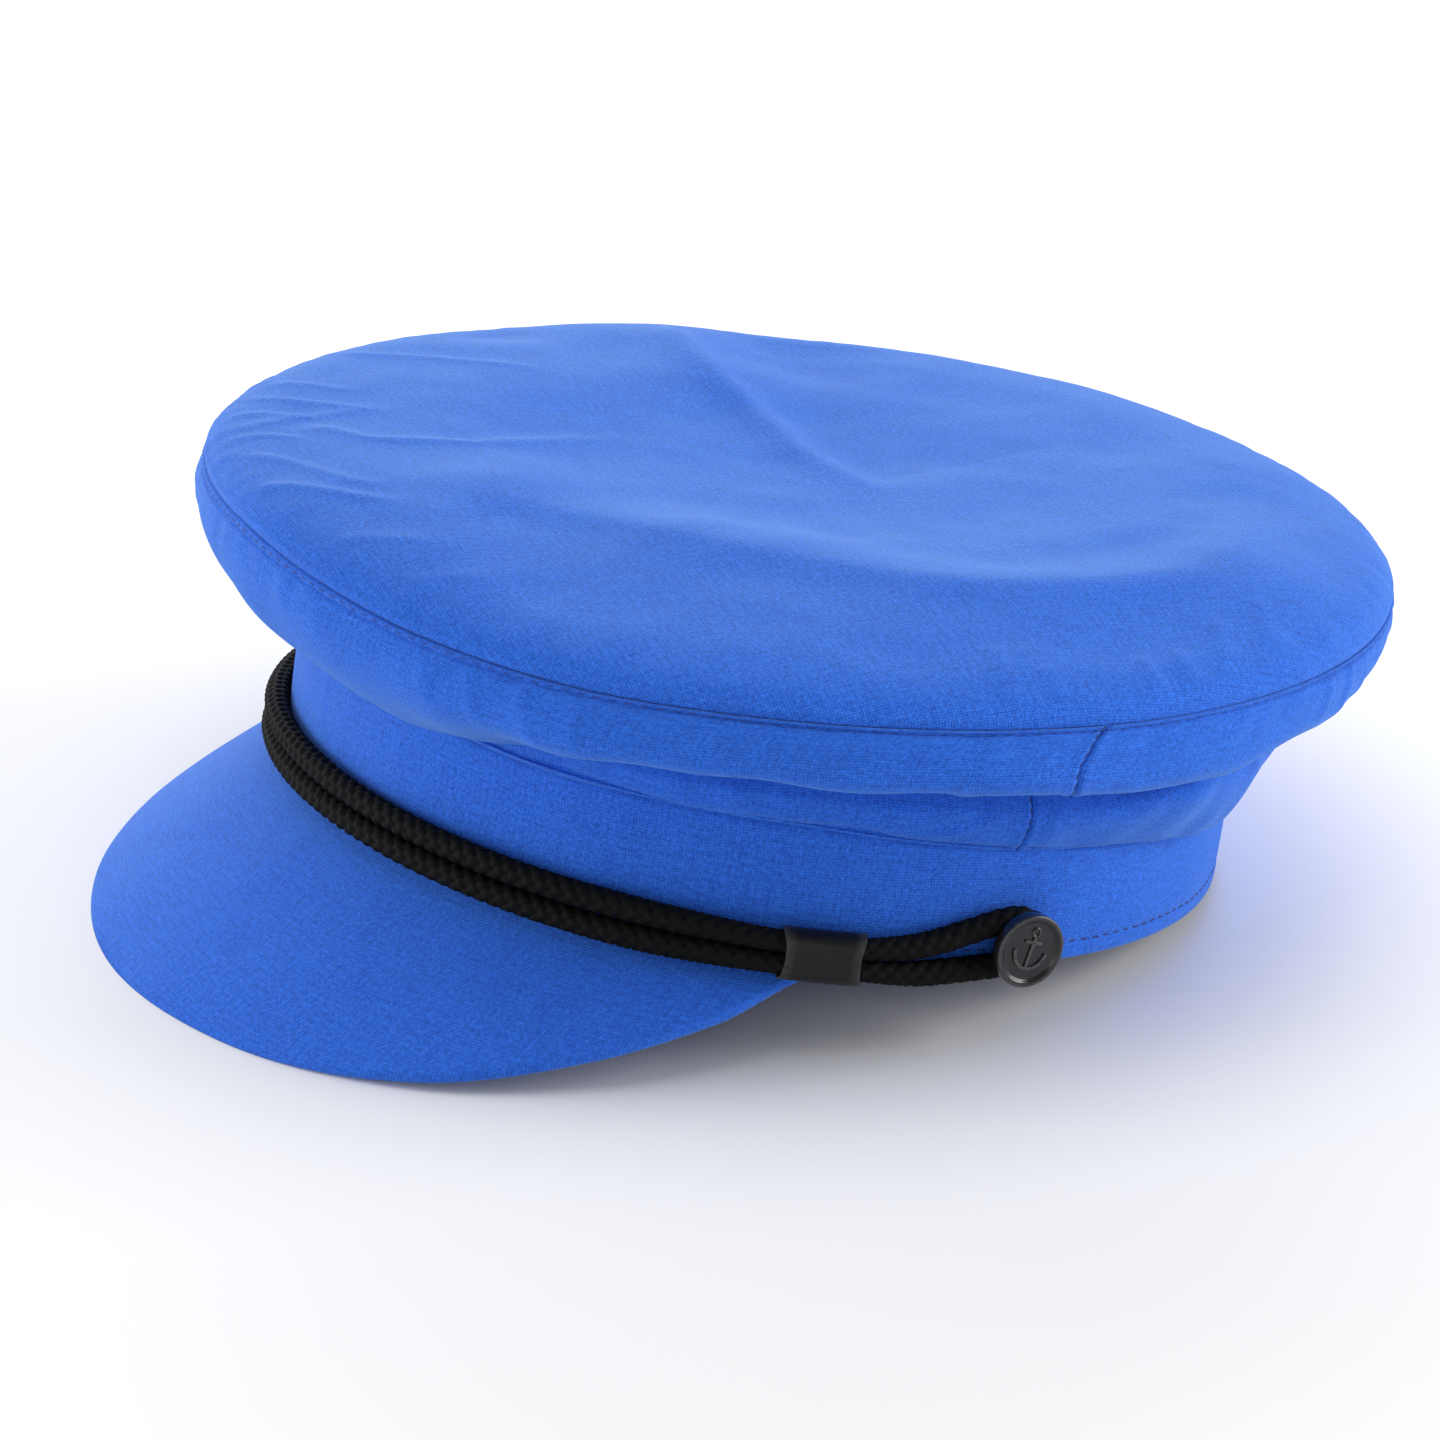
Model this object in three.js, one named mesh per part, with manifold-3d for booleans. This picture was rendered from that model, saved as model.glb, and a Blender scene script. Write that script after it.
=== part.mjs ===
// A breton fisherman cap lying on a table: soft round crown, upright band, stiff peak,
// and a closed loop of cord that two side buttons and two sleeves hold across the front.
// Millimetres. +Z is up, the peak points to -Y and the wearer's left is +X.
//
// The cap is modelled upright, about the centre of the band's lower edge. Then it is tipped back
// until the peak's front edge and the rear of the band stand on one level, and is laid on z = 0.
// Angles round the cap count from the front, positive towards the wearer's left.

import * as THREE from 'three';
import Module from 'manifold-3d';
import { mergeVertices } from 'three/addons/utils/BufferGeometryUtils.js';

// Band: a ring of stiffened cloth, outside sizes
const BAND_LENGTH = 185;
const BAND_WIDTH = 188;
const BAND_WALL = 2;
const BAND_HEIGHT_FRONT = 28.5;
const BAND_HEIGHT_REAR = 19;

// Crown: the rim is the seam between the top panel and the side panel
const RIM_LENGTH = 232;
const RIM_WIDTH = 230;
const RIM_HEIGHT = 58;
const RIM_BACK_SHIFT = 1;
const RIM_TILT = THREE.MathUtils.degToRad(3.3);
const CLOTH = 1.6;
const SEAM_GAP = 0.3;
const TOP_PUFF = 9;
const RIM_LIFT = 4.8;
const DENT_FADE = 0.12;
const SIDE_SEAM_ANGLE = 93.5;
const SIDE_SEAM_LEAN = 3;

// Folds of the crown's side panel
const STRIP_DROP = 14;
const STRIP_PUFF = 3;
const STRIP_BELLY = 0.45;
const STRIP_EDGE_PUFF = 0.2;
const STRIP_HANG = 7;
const TIER_FLARE = 7;
const TIER_ROLL = 2;
const TIER_FOOT = 1.5;

// Peak
const PEAK_REACH = 53;
const PEAK_HALF_ANGLE = 73;
const PEAK_SLOPE = THREE.MathUtils.degToRad(42.7);
const PEAK_SLOPE_ENDS = THREE.MathUtils.degToRad(38.5);
const PEAK_THICKNESS = 3;
const PEAK_CAMBER = 0.6;

// Cord, sleeves and buttons
const CORD = 5;
const CORD_GAP = 0.3;
const STRAND_GAP = 0.15;
const STRAND_GAP_FRONT = 0.5;
const CORD_FRONT_HEIGHT = 1.8;
const KEEPER_ANGLE = 72;
const KEEPER_LENGTH = 15.5;
const KEEPER_WALL = 0.4;
const KEEPER_PLAY = 0.25;
const BUTTON_ANGLE = 94.5;
const BUTTON_HEIGHT = 6.1;
const BUTTON_DIAMETER = 12.7;
const BUTTON_THICKNESS = 2.4;
const BUTTON_RIM = 0.9;
const BUTTON_DISH = 0.5;
const ANCHOR_RELIEF = 0.35;
const SHANK_DIAMETER = 3;
const LOOP_PLAY = 0.4;

// Rest on the table
const TIP = THREE.MathUtils.degToRad(9.3);
const FLATTENED = 0.8;

// Fineness of the meshes
const AROUND = 72;
const TOP_RINGS = 10;
const TOP_RING_CROWDING = 1.25;
const SIDE_STEPS = 14;
const FRONT_STEPS = 34;
const REAR_STEPS = 32;
const PEAK_ACROSS = 36;
const PEAK_ALONG = 5;
const FRONT_POINTS = 11;
const CORD_STEPS = 80;
const CORD_SIDES = 8;
const KEEPER_STEPS = 4;
const KEEPER_TURN_STEPS = 6;
const BUTTON_SIDES = 24;
const ANCHOR_CURVE_STEPS = 7;

// Height of the band as a share of the way from its rear height to its front height
const bandTable = [
  { angle: 0, share: 1 }, { angle: 45, share: 0.87 }, { angle: 90, share: 0.5 },
  { angle: 135, share: 0.2 }, { angle: 180, share: 0 },
];

// How far the soft rim stands above its plane, in shares of RIM_LIFT: pushed up at the front and
// sagging at the wearer's left
const rimTable = [
  { angle: -180, lift: 0.1 }, { angle: -150, lift: 0.3 }, { angle: -110, lift: 0.45 },
  { angle: -60, lift: 0.85 }, { angle: -20, lift: 1 }, { angle: 0, lift: 1 },
  { angle: 15, lift: 0.55 }, { angle: 30, lift: -0.05 }, { angle: 50, lift: -0.45 },
  { angle: 90, lift: -0.45 }, { angle: 120, lift: -0.25 }, { angle: 150, lift: -0.05 },
  { angle: 180, lift: 0.1 },
];

// Section of the side panel at angles round the cap. drop, puff, hang, flare and roll are shares
// of the sizes of those names; tuck is how far the groove goes in, from the rim (0) to the band
// (1); grooveRise and tierRise are shares of the height from the band to the strip's lower edge.
const foldTable = [
  {
    angle: 0, drop: 1.3, puff: 0.15, hang: 0.8, tuck: 0.72,
    grooveRise: -0.15, tierRise: 0, flare: 0.35, roll: 0.2,
  },
  {
    angle: 30, drop: 1.1, puff: 0.45, hang: 0.5, tuck: 0.65,
    grooveRise: 0, tierRise: 0.05, flare: 0.4, roll: 0.3,
  },
  {
    angle: 55, drop: 0.86, puff: 0.8, hang: 0, tuck: 0.85,
    grooveRise: 0.55, tierRise: 0.3, flare: 0.55, roll: 0.8,
  },
  {
    angle: 90, drop: 0.84, puff: 0.8, hang: 0, tuck: 0.9,
    grooveRise: 0.75, tierRise: 0.5, flare: 0.7, roll: 1,
  },
  {
    angle: 120, drop: 1, puff: 0.45, hang: 0.3, tuck: 0.8,
    grooveRise: 0.7, tierRise: 0.5, flare: 0.9, roll: 1,
  },
  {
    angle: 155, drop: 1.15, puff: 0.05, hang: 1, tuck: 0.8,
    grooveRise: 0.6, tierRise: 0.45, flare: 1, roll: 0.8,
  },
  {
    angle: 180, drop: 1.2, puff: 0.1, hang: 1, tuck: 0.8,
    grooveRise: 0.6, tierRise: 0.45, flare: 1, roll: 0.8,
  },
];

// Reach of the peak as a share of PEAK_REACH, across its half angle
const peakTable = [
  { across: 0, reach: 1 }, { across: 0.25, reach: 0.94 }, { across: 0.5, reach: 0.765 },
  { across: 0.7, reach: 0.51 }, { across: 0.85, reach: 0.28 }, { across: 1, reach: 0.05 },
];

// Height of the top panel over its rim, from the rim (0) to the middle (1), in shares of TOP_PUFF
const puffTable = [
  { inwards: 0, height: 0 }, { inwards: 0.05, height: 0.48 }, { inwards: 0.12, height: 0.72 },
  { inwards: 0.25, height: 0.92 }, { inwards: 0.42, height: 1 }, { inwards: 0.7, height: 0.72 },
  { inwards: 1, height: 0.6 },
];

// Cord from a sleeve to the button: how far along, and how far its strands have opened
const tailTable = [
  { along: 0.35, open: 0.12 }, { along: 0.65, open: 0.6 }, { along: 0.88, open: 0.95 },
];

// Anchor on a button, in shares of the dished face's radius; spreads are degrees to each side
const anchor = {
  line: 0.13, shank: 1.15, shankDown: 0.05, stock: 0.7, stockUp: 0.32,
  ring: 0.2, ringEye: 0.09, ringUp: 0.68,
  arm: 0.68, armSpread: 65, armInside: 0.56, armInsideUp: 0.06, armInsideSpread: 58,
  flukeOut: 0.72, flukeDown: 0.08, flukeIn: 0.42, flukeInDown: 0.24,
};

// Dents and ridges of the top panel: place and spread in shares of the rim's half sizes,
// height in shares of TOP_PUFF
const dentTable = [
  { side: -0.5, front: -0.14, long: 0.4, wide: 0.11, turn: 4, height: 0.16 },
  { side: -0.7, front: -0.34, long: 0.22, wide: 0.14, turn: 10, height: -0.2 },
  { side: -0.4, front: -0.45, long: 0.35, wide: 0.22, turn: -25, height: -0.2 },
];

const rad = THREE.MathUtils.degToRad;

// Value of one column of a table at a place between its rows, eased so that it has no corners
function lookUp(table, key, column, at) {
  const rows = table.length;
  let row = 0;
  while (row < rows - 2 && at > table[row + 1][key]) row += 1;
  const slope = (k) => {
    if (k <= 0 || k >= rows - 1) return 0;
    const before = (table[k][column] - table[k - 1][column]) / (table[k][key] - table[k - 1][key]);
    const after = (table[k + 1][column] - table[k][column]) / (table[k + 1][key] - table[k][key]);
    return before * after > 0 ? (2 * before * after) / (before + after) : 0;
  };
  const low = table[row];
  const high = table[row + 1];
  const span = high[key] - low[key];
  const t = THREE.MathUtils.clamp((at - low[key]) / span, 0, 1);
  const t2 = t * t;
  const t3 = t2 * t;
  return (2 * t3 - 3 * t2 + 1) * low[column] + (t3 - 2 * t2 + t) * span * slope(row)
    + (3 * t2 - 2 * t3) * high[column] + (t3 - t2) * span * slope(row + 1);
}

// Angle from the front without its side, for the tables, which hold for both sides of the cap
const fromFront = (angle) => Math.abs(((angle + 540) % 360) - 180);

const bandHeight = (angle) => BAND_HEIGHT_REAR
  + (BAND_HEIGHT_FRONT - BAND_HEIGHT_REAR) * lookUp(bandTable, 'angle', 'share', fromFront(angle));

// Point on the band's outside, moved out by `out`, at a height
function onBand(angle, out, height) {
  const a = rad(angle);
  return new THREE.Vector3(
    (BAND_WIDTH / 2 + out) * Math.sin(a), -(BAND_LENGTH / 2 + out) * Math.cos(a), height);
}

// Point of the crown in shares of the rim's half sizes, a height above the soft rim's own surface
function onCrown(side, front, up) {
  const angle = THREE.MathUtils.radToDeg(Math.atan2(side, front));
  const height = up + RIM_LIFT * lookUp(rimTable, 'angle', 'lift', angle) * (side ** 2 + front ** 2);
  const x = (RIM_WIDTH / 2) * side;
  const y = -(RIM_LENGTH / 2) * front;
  return new THREE.Vector3(
    x,
    y * Math.cos(RIM_TILT) - height * Math.sin(RIM_TILT) + RIM_BACK_SHIFT,
    y * Math.sin(RIM_TILT) + height * Math.cos(RIM_TILT) + RIM_HEIGHT);
}

// One closed body from triangles given as corner points; faces without area are dropped
function bodyOf(corners) {
  const loose = new THREE.BufferGeometry().setFromPoints(corners);
  const merged = mergeVertices(loose, 1e-4);
  const index = merged.index.array;
  const kept = [];
  for (let k = 0; k < index.length; k += 3) {
    const [a, b, c] = [index[k], index[k + 1], index[k + 2]];
    if (a !== b && b !== c && c !== a) kept.push(a, b, c);
  }
  const point = (k) => new THREE.Vector3().fromBufferAttribute(merged.attributes.position, k);
  let volume = 0;
  for (let k = 0; k < kept.length; k += 3) {
    volume += point(kept[k]).dot(point(kept[k + 1]).cross(point(kept[k + 2])));
  }
  merged.setIndex(volume < 0 ? kept.reverse() : kept);
  merged.computeVertexNormals();
  return merged;
}

// Closed body of a cloth sheet from its outer and inner skins, two equal grids of points
function sheet(outer, inner, wraps) {
  const corners = [];
  const quad = (a, b, c, d) => corners.push(a, b, c, a, c, d);
  const rows = outer.length;
  const last = outer[0].length - 1;
  for (let i = 0; i < (wraps ? rows : rows - 1); i += 1) {
    const k = (i + 1) % rows;
    for (let j = 0; j < last; j += 1) {
      quad(outer[i][j], outer[i][j + 1], outer[k][j + 1], outer[k][j]);
      quad(inner[i][j], inner[k][j], inner[k][j + 1], inner[i][j + 1]);
    }
    quad(outer[i][0], outer[k][0], inner[k][0], inner[i][0]);
    quad(outer[i][last], inner[i][last], inner[k][last], outer[k][last]);
  }
  if (!wraps) {
    for (let j = 0; j < last; j += 1) {
      const e = rows - 1;
      quad(outer[0][j], inner[0][j], inner[0][j + 1], outer[0][j + 1]);
      quad(outer[e][j], outer[e][j + 1], inner[e][j + 1], inner[e][j]);
    }
  }
  return bodyOf(corners);
}

// Turn from the cap's own frame to the frame in which it lies, before it is centred
const lie = new THREE.Matrix4().makeRotationX(-TIP);
lie.setPosition(0, 0, (BAND_LENGTH / 2) * Math.sin(TIP) - FLATTENED);

// Cloth laid on the table: what would reach below it is pressed flat on it
function laidCloth(geometry) {
  geometry.applyMatrix4(lie);
  const place = geometry.attributes.position;
  for (let k = 0; k < place.count; k += 1) place.setZ(k, Math.max(place.getZ(k), 0));
  geometry.computeVertexNormals();
  return geometry;
}

// Band

function bandGeometry() {
  const outer = [];
  const inner = [];
  for (let i = 0; i < AROUND; i += 1) {
    const angle = (360 * i) / AROUND;
    const levels = [0, bandHeight(angle) / 2, bandHeight(angle)];
    outer.push(levels.map((z) => onBand(angle, 0, z)));
    inner.push(levels.map((z) => onBand(angle, -BAND_WALL, z)));
  }
  return sheet(outer, inner, true);
}

// Crown

function topHeight(side, front) {
  const inwards = 1 - Math.min(1, Math.hypot(side, front));
  let height = lookUp(puffTable, 'inwards', 'height', inwards);
  const fade = Math.min(1, inwards / DENT_FADE);
  for (const dent of dentTable) {
    const c = Math.cos(rad(dent.turn));
    const s = Math.sin(rad(dent.turn));
    const along = (side - dent.side) * c + (front - dent.front) * s;
    const across = (front - dent.front) * c - (side - dent.side) * s;
    height += fade * dent.height * Math.exp(-((along / dent.long) ** 2) - (across / dent.wide) ** 2);
  }
  return TOP_PUFF * height;
}

function topGeometry() {
  const outer = [];
  const inner = [];
  for (let i = 0; i < AROUND; i += 1) {
    const a = rad((360 * i) / AROUND);
    const shares = Array.from({ length: TOP_RINGS + 1 }, (_, j) => 1 - (j / TOP_RINGS) ** TOP_RING_CROWDING);
    const point = (share, deep) => {
      const [side, front] = [share * Math.sin(a), share * Math.cos(a)];
      return onCrown(side, front, topHeight(side, front) - deep);
    };
    outer.push(shares.map((share) => point(share, 0)));
    inner.push(shares.map((share) => point(share, CLOTH)));
  }
  return sheet(outer, inner, true);
}

// Section of the side panel at an angle: points (out from the axis, height), rim to band
function sideSection(angle) {
  const share = (column) => lookUp(foldTable, 'angle', column, fromFront(angle));
  const a = rad(angle);
  const rim = onCrown(Math.sin(a), Math.cos(a), -CLOTH - SEAM_GAP);
  const foot = onBand(angle, 0, bandHeight(angle) + SEAM_GAP);
  const rimOut = Math.hypot(rim.x, rim.y);
  const footOut = Math.hypot(foot.x, foot.y);
  const edgeHeight = rim.z - STRIP_DROP * share('drop');
  const rise = edgeHeight - foot.z;
  const puff = STRIP_PUFF * share('puff');
  const grooveOut = rimOut + (footOut - rimOut) * share('tuck');
  return [
    new THREE.Vector2(rimOut, rim.z),
    new THREE.Vector2(rimOut + puff, rim.z + (edgeHeight - rim.z) * STRIP_BELLY),
    new THREE.Vector2(rimOut + puff * STRIP_EDGE_PUFF - STRIP_HANG * share('hang'), edgeHeight),
    new THREE.Vector2(grooveOut, foot.z + rise * share('grooveRise')),
    new THREE.Vector2(footOut + TIER_FLARE * share('flare'), foot.z + rise * share('tierRise')),
    new THREE.Vector2(footOut + TIER_ROLL * share('roll'), foot.z + TIER_FOOT),
    new THREE.Vector2(footOut, foot.z),
  ];
}

function sideGeometry(fromAngle, toAngle, steps) {
  const outer = [];
  const inner = [];
  for (let i = 0; i <= steps; i += 1) {
    const angle = fromAngle + ((toAngle - fromAngle) * i) / steps;
    const line = new THREE.SplineCurve(sideSection(angle)).getPoints(SIDE_STEPS);
    const lean = rad(SIDE_SEAM_LEAN) * Math.sin(rad(angle));
    const place = (out, height, j) => {
      const heading = rad(angle) - lean * Math.sin(Math.PI * Math.min(1, (2 * j) / SIDE_STEPS));
      return new THREE.Vector3(out * Math.sin(heading), -out * Math.cos(heading), height);
    };
    outer.push(line.map((p, j) => place(p.x, p.y, j)));
    inner.push(line.map((p, j) => {
      const run = line[Math.min(j + 1, SIDE_STEPS)].clone().sub(line[Math.max(j - 1, 0)]).normalize();
      if (j === 0 || j === SIDE_STEPS) return place(p.x - CLOTH, p.y, j);
      return place(p.x + run.y * CLOTH, p.y - run.x * CLOTH, j);
    }));
  }
  return sheet(outer, inner, false);
}

// Peak

const peakSlope = (across) => PEAK_SLOPE + (PEAK_SLOPE_ENDS - PEAK_SLOPE) * across ** 2;

// The root lies under the band's lower edge, flush with its inside
function peakGeometry() {
  const upper = [];
  const lower = [];
  for (let i = 0; i <= PEAK_ACROSS; i += 1) {
    const across = (2 * i) / PEAK_ACROSS - 1;
    const share = lookUp(peakTable, 'across', 'reach', Math.abs(across));
    const reach = PEAK_REACH * share;
    const slope = peakSlope(across);
    const round = Math.min(PEAK_THICKNESS / 2, reach / 2);
    const point = (along, deep) => {
      const up = PEAK_CAMBER * share * Math.sin((Math.PI * along) / reach) - deep;
      const out = along * Math.cos(slope) + up * Math.sin(slope);
      const height = up * Math.cos(slope) - along * Math.sin(slope);
      return onBand(PEAK_HALF_ANGLE * across, Math.max(out, 0) - BAND_WALL, height - SEAM_GAP);
    };
    const root = (deep) => point(deep * Math.tan(slope), deep);
    const steps = Array.from({ length: PEAK_ALONG }, (_, j) => ((reach - round) * (j + 1)) / PEAK_ALONG);
    const tip = point(reach, PEAK_THICKNESS / 2);
    upper.push([root(0), ...steps.map((s) => point(s, 0)), tip]);
    lower.push([root(PEAK_THICKNESS), ...steps.map((s) => point(
      Math.max(s, PEAK_THICKNESS * Math.tan(slope)), PEAK_THICKNESS)), tip]);
  }
  return sheet(upper, lower, false);
}

// Cord and sleeves

const degreesOver = (length) => (length / (BAND_LENGTH / 2)) * (180 / Math.PI);
const sleeveRadius = CORD / 2 + KEEPER_PLAY + KEEPER_WALL;
const sleeveOut = CORD_GAP + sleeveRadius;
const keeperHalfAngle = degreesOver(KEEPER_LENGTH / 2);
const keeperStart = KEEPER_ANGLE - keeperHalfAngle;
const keeperEnd = KEEPER_ANGLE + keeperHalfAngle;
const strandStep = CORD + STRAND_GAP;

// Height at which a round thing, standing off the band, rests on the peak near the peak's ends
function seatHeight(radius, out) {
  const away = (BAND_WALL + out) * Math.sin(PEAK_SLOPE_ENDS);
  return (radius + SEAM_GAP - away) / Math.cos(PEAK_SLOPE_ENDS) - SEAM_GAP;
}

const keeperLow = Math.max(seatHeight(sleeveRadius, sleeveOut), 0);

// Distance of the cord's middle from the band: the sleeves hold it a little farther off
function cordOut(angle) {
  const away = Math.max(0, Math.abs(fromFront(angle) - KEEPER_ANGLE) / keeperHalfAngle - 1);
  const free = CORD_GAP + CORD / 2;
  return free + (sleeveOut - free) * Math.exp(-(away ** 2));
}

// Heights of the lower and the upper strand across the front
function lowStrand(angle) {
  const way = THREE.MathUtils.smoothstep(fromFront(angle), 0, keeperStart);
  return THREE.MathUtils.lerp(CORD_FRONT_HEIGHT, keeperLow, way);
}

function highStrand(angle) {
  const way = THREE.MathUtils.smoothstep(fromFront(angle), keeperStart / 2, keeperStart);
  return lowStrand(angle) + CORD + THREE.MathUtils.lerp(STRAND_GAP_FRONT, STRAND_GAP, way);
}

// Closed curve that is sampled by its own points, which lie closer at the loop's two ends
class LoopCurve extends THREE.CatmullRomCurve3 {
  getPointAt(u, target) { return this.getPoint(u, target); }

  getTangentAt(u, target) { return this.getTangent(u, target); }
}

// The cord is one closed loop: along the lower strand to the left button, round its shank,
// back along the upper strand and round the other button
function cordRoute() {
  const turn = SHANK_DIAMETER / 2 + LOOP_PLAY + CORD / 2;
  const at = (angle, height) => onBand(angle, cordOut(angle), height);
  const open = Array.from({ length: FRONT_POINTS },
    (_, k) => keeperStart * ((2 * k) / (FRONT_POINTS - 1) - 1));
  const front = [-keeperEnd, -KEEPER_ANGLE, ...open, KEEPER_ANGLE, keeperEnd];
  const tail = (side, up) => tailTable.map((row) => {
    const low = keeperLow + (up > 0 ? strandStep : 0);
    return at(side * THREE.MathUtils.lerp(keeperEnd, BUTTON_ANGLE, row.along),
      THREE.MathUtils.lerp(low, BUTTON_HEIGHT + up * turn, row.open));
  });
  const end = (side) => [-90, -45, 0, 45, 90].map((around) => at(
    side * (BUTTON_ANGLE + degreesOver(turn * Math.cos(rad(around)))),
    BUTTON_HEIGHT + turn * Math.sin(rad(around))));
  return [
    ...front.map((angle) => at(angle, lowStrand(angle))),
    ...tail(1, -1), ...end(1), ...tail(1, 1).reverse(),
    ...front.map((angle) => at(-angle, highStrand(angle))),
    ...tail(-1, 1), ...end(-1).reverse(), ...tail(-1, -1).reverse(),
  ];
}

// Corner points of a geometry's faces, in order
function cornersOf(geometry) {
  const place = (geometry.index ? geometry.toNonIndexed() : geometry).attributes.position;
  return Array.from({ length: place.count }, (_, k) => new THREE.Vector3().fromBufferAttribute(place, k));
}

function cordGeometry() {
  const curve = new LoopCurve(cordRoute(), true);
  return bodyOf(cornersOf(new THREE.TubeGeometry(curve, CORD_STEPS, CORD / 2, CORD_SIDES, true)));
}

// Sleeve round the two strands, bent along the band
function keeperGeometry(side) {
  const halfRound = (from) => Array.from({ length: KEEPER_TURN_STEPS + 1 },
    (_, k) => rad(from + (180 * k) / KEEPER_TURN_STEPS));
  const skin = (radius) => [...halfRound(0), ...halfRound(180)].map((around, k) => {
    const middle = k <= KEEPER_TURN_STEPS ? keeperLow + strandStep : keeperLow;
    return Array.from({ length: KEEPER_STEPS + 1 }, (_, step) => onBand(
      side * (KEEPER_ANGLE + keeperHalfAngle * ((2 * step) / KEEPER_STEPS - 1)),
      sleeveOut + radius * Math.cos(around), middle + radius * Math.sin(around)));
  });
  return sheet(skin(sleeveRadius), skin(sleeveRadius - KEEPER_WALL), true);
}

// Buttons, modelled about their own middle: +Z looks out from the band and +Y up

const wasm = await Module();
wasm.setup();

function solidOf(geometry) {
  const body = bodyOf(cornersOf(geometry));
  return new wasm.Manifold(new wasm.Mesh({
    numProp: 3,
    vertProperties: new Float32Array(body.attributes.position.array),
    triVerts: new Uint32Array(body.index.array),
  }));
}

function geometryOf(solid) {
  const mesh = solid.getMesh();
  const geometry = new THREE.BufferGeometry();
  geometry.setAttribute('position', new THREE.BufferAttribute(new Float32Array(mesh.vertProperties), 3));
  geometry.setIndex(new THREE.BufferAttribute(new Uint32Array(mesh.triVerts), 1));
  geometry.computeVertexNormals();
  return geometry;
}

// Plain anchor: shank, stock, ring and two curved arms with flukes, sunk halfway in the face
function anchorParts(reach, floor) {
  const depth = 2 * ANCHOR_RELIEF;
  const size = Object.fromEntries(Object.entries(anchor).map(([key, share]) => [key, share * reach]));
  const bar = (width, height, up) => new THREE.BoxGeometry(width, height, depth).translate(0, up, 0);
  const plate = (shape) => new THREE.ExtrudeGeometry(
    shape, { depth, bevelEnabled: false, curveSegments: ANCHOR_CURVE_STEPS }).translate(0, 0, -ANCHOR_RELIEF);
  const ring = new THREE.Shape().absarc(0, size.ringUp, size.ring, 0, 2 * Math.PI);
  ring.holes.push(new THREE.Path().absarc(0, size.ringUp, size.ringEye, 0, 2 * Math.PI, true));
  const spread = rad(anchor.armSpread);
  const inside = rad(anchor.armInsideSpread);
  const down = rad(270);
  const arms = new THREE.Shape().absarc(0, 0, size.arm, down - spread, down + spread)
    .lineTo(size.flukeOut, -size.flukeDown)
    .lineTo(size.flukeIn, -size.flukeInDown)
    .absarc(0, size.armInsideUp, size.armInside, down + inside, down - inside, true)
    .lineTo(-size.flukeIn, -size.flukeInDown)
    .lineTo(-size.flukeOut, -size.flukeDown);
  const parts = [
    bar(size.line, size.shank, -size.shankDown), bar(size.stock, size.line, size.stockUp),
    plate(ring), plate(arms),
  ];
  return parts.map((part) => part.translate(0, 0, floor));
}

function buttonGeometry() {
  const radius = BUTTON_DIAMETER / 2;
  const shank = SHANK_DIAMETER / 2;
  const back = CORD_GAP + CORD + CORD_GAP;
  const face = back + BUTTON_THICKNESS;
  const dish = face - BUTTON_DISH;
  const dished = radius - BUTTON_RIM;
  const bevel = BUTTON_THICKNESS / 4;
  const outline = [
    [0, CORD_GAP], [shank, CORD_GAP], [shank, back], [radius - bevel, back], [radius, back + bevel],
    [radius, face - bevel], [radius - bevel / 2, face], [dished, face],
    [dished - BUTTON_DISH, dish], [0, dish],
  ].map(([out, height]) => new THREE.Vector2(out, height));
  const turned = new THREE.LatheGeometry(outline, BUTTON_SIDES).rotateX(Math.PI / 2);
  return geometryOf(anchorParts(dished - BUTTON_DISH, dish).reduce(
    (body, shape) => body.add(solidOf(shape)), solidOf(turned)));
}

// The assembly

const cloth = { color: 0x2b62dd, roughness: 0.85, metalness: 0 };
const braid = { color: 0x101012, roughness: 0.8, metalness: 0 };
const blackMetal = { color: 0x2a2b2c, roughness: 0.35, metalness: 0.4 };

const cap = new THREE.Group();
const upright = new THREE.Group();
upright.applyMatrix4(lie);
cap.add(upright);

function add(parent, name, geometry, look) {
  const mesh = new THREE.Mesh(geometry, new THREE.MeshStandardMaterial(look));
  mesh.name = name;
  parent.add(mesh);
  return mesh;
}

const seamHalfGap = (SEAM_GAP / BAND_WIDTH) * (180 / Math.PI);
const sideEnd = SIDE_SEAM_ANGLE - seamHalfGap;
const sideStart = SIDE_SEAM_ANGLE + seamHalfGap;
add(cap, 'crown_top', laidCloth(topGeometry()), cloth);
add(cap, 'crown_side_front', laidCloth(sideGeometry(-sideEnd, sideEnd, FRONT_STEPS)), cloth);
add(cap, 'crown_side_back', laidCloth(sideGeometry(sideStart, 360 - sideStart, REAR_STEPS)), cloth);
add(cap, 'band', laidCloth(bandGeometry()), cloth);
add(cap, 'peak', laidCloth(peakGeometry()), cloth);
add(upright, 'cord_loop', cordGeometry(), braid);

for (const [name, side] of [['left', 1], ['right', -1]]) {
  add(upright, `keeper_${name}`, keeperGeometry(side), blackMetal);
  const button = add(upright, `button_${name}`, buttonGeometry(), blackMetal);
  const angle = rad(side * BUTTON_ANGLE);
  const outward = new THREE.Vector3(Math.sin(angle), -Math.cos(angle), 0);
  const upward = new THREE.Vector3(0, 0, 1);
  button.position.copy(onBand(side * BUTTON_ANGLE, 0, BUTTON_HEIGHT));
  button.setRotationFromMatrix(new THREE.Matrix4().makeBasis(upward.clone().cross(outward), upward, outward));
}

// The origin is the middle of the cap's footprint, on the table
const bounds = new THREE.Box3().setFromObject(cap);
cap.position.set(-(bounds.min.x + bounds.max.x) / 2, -(bounds.min.y + bounds.max.y) / 2, 0);

export default cap;
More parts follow.
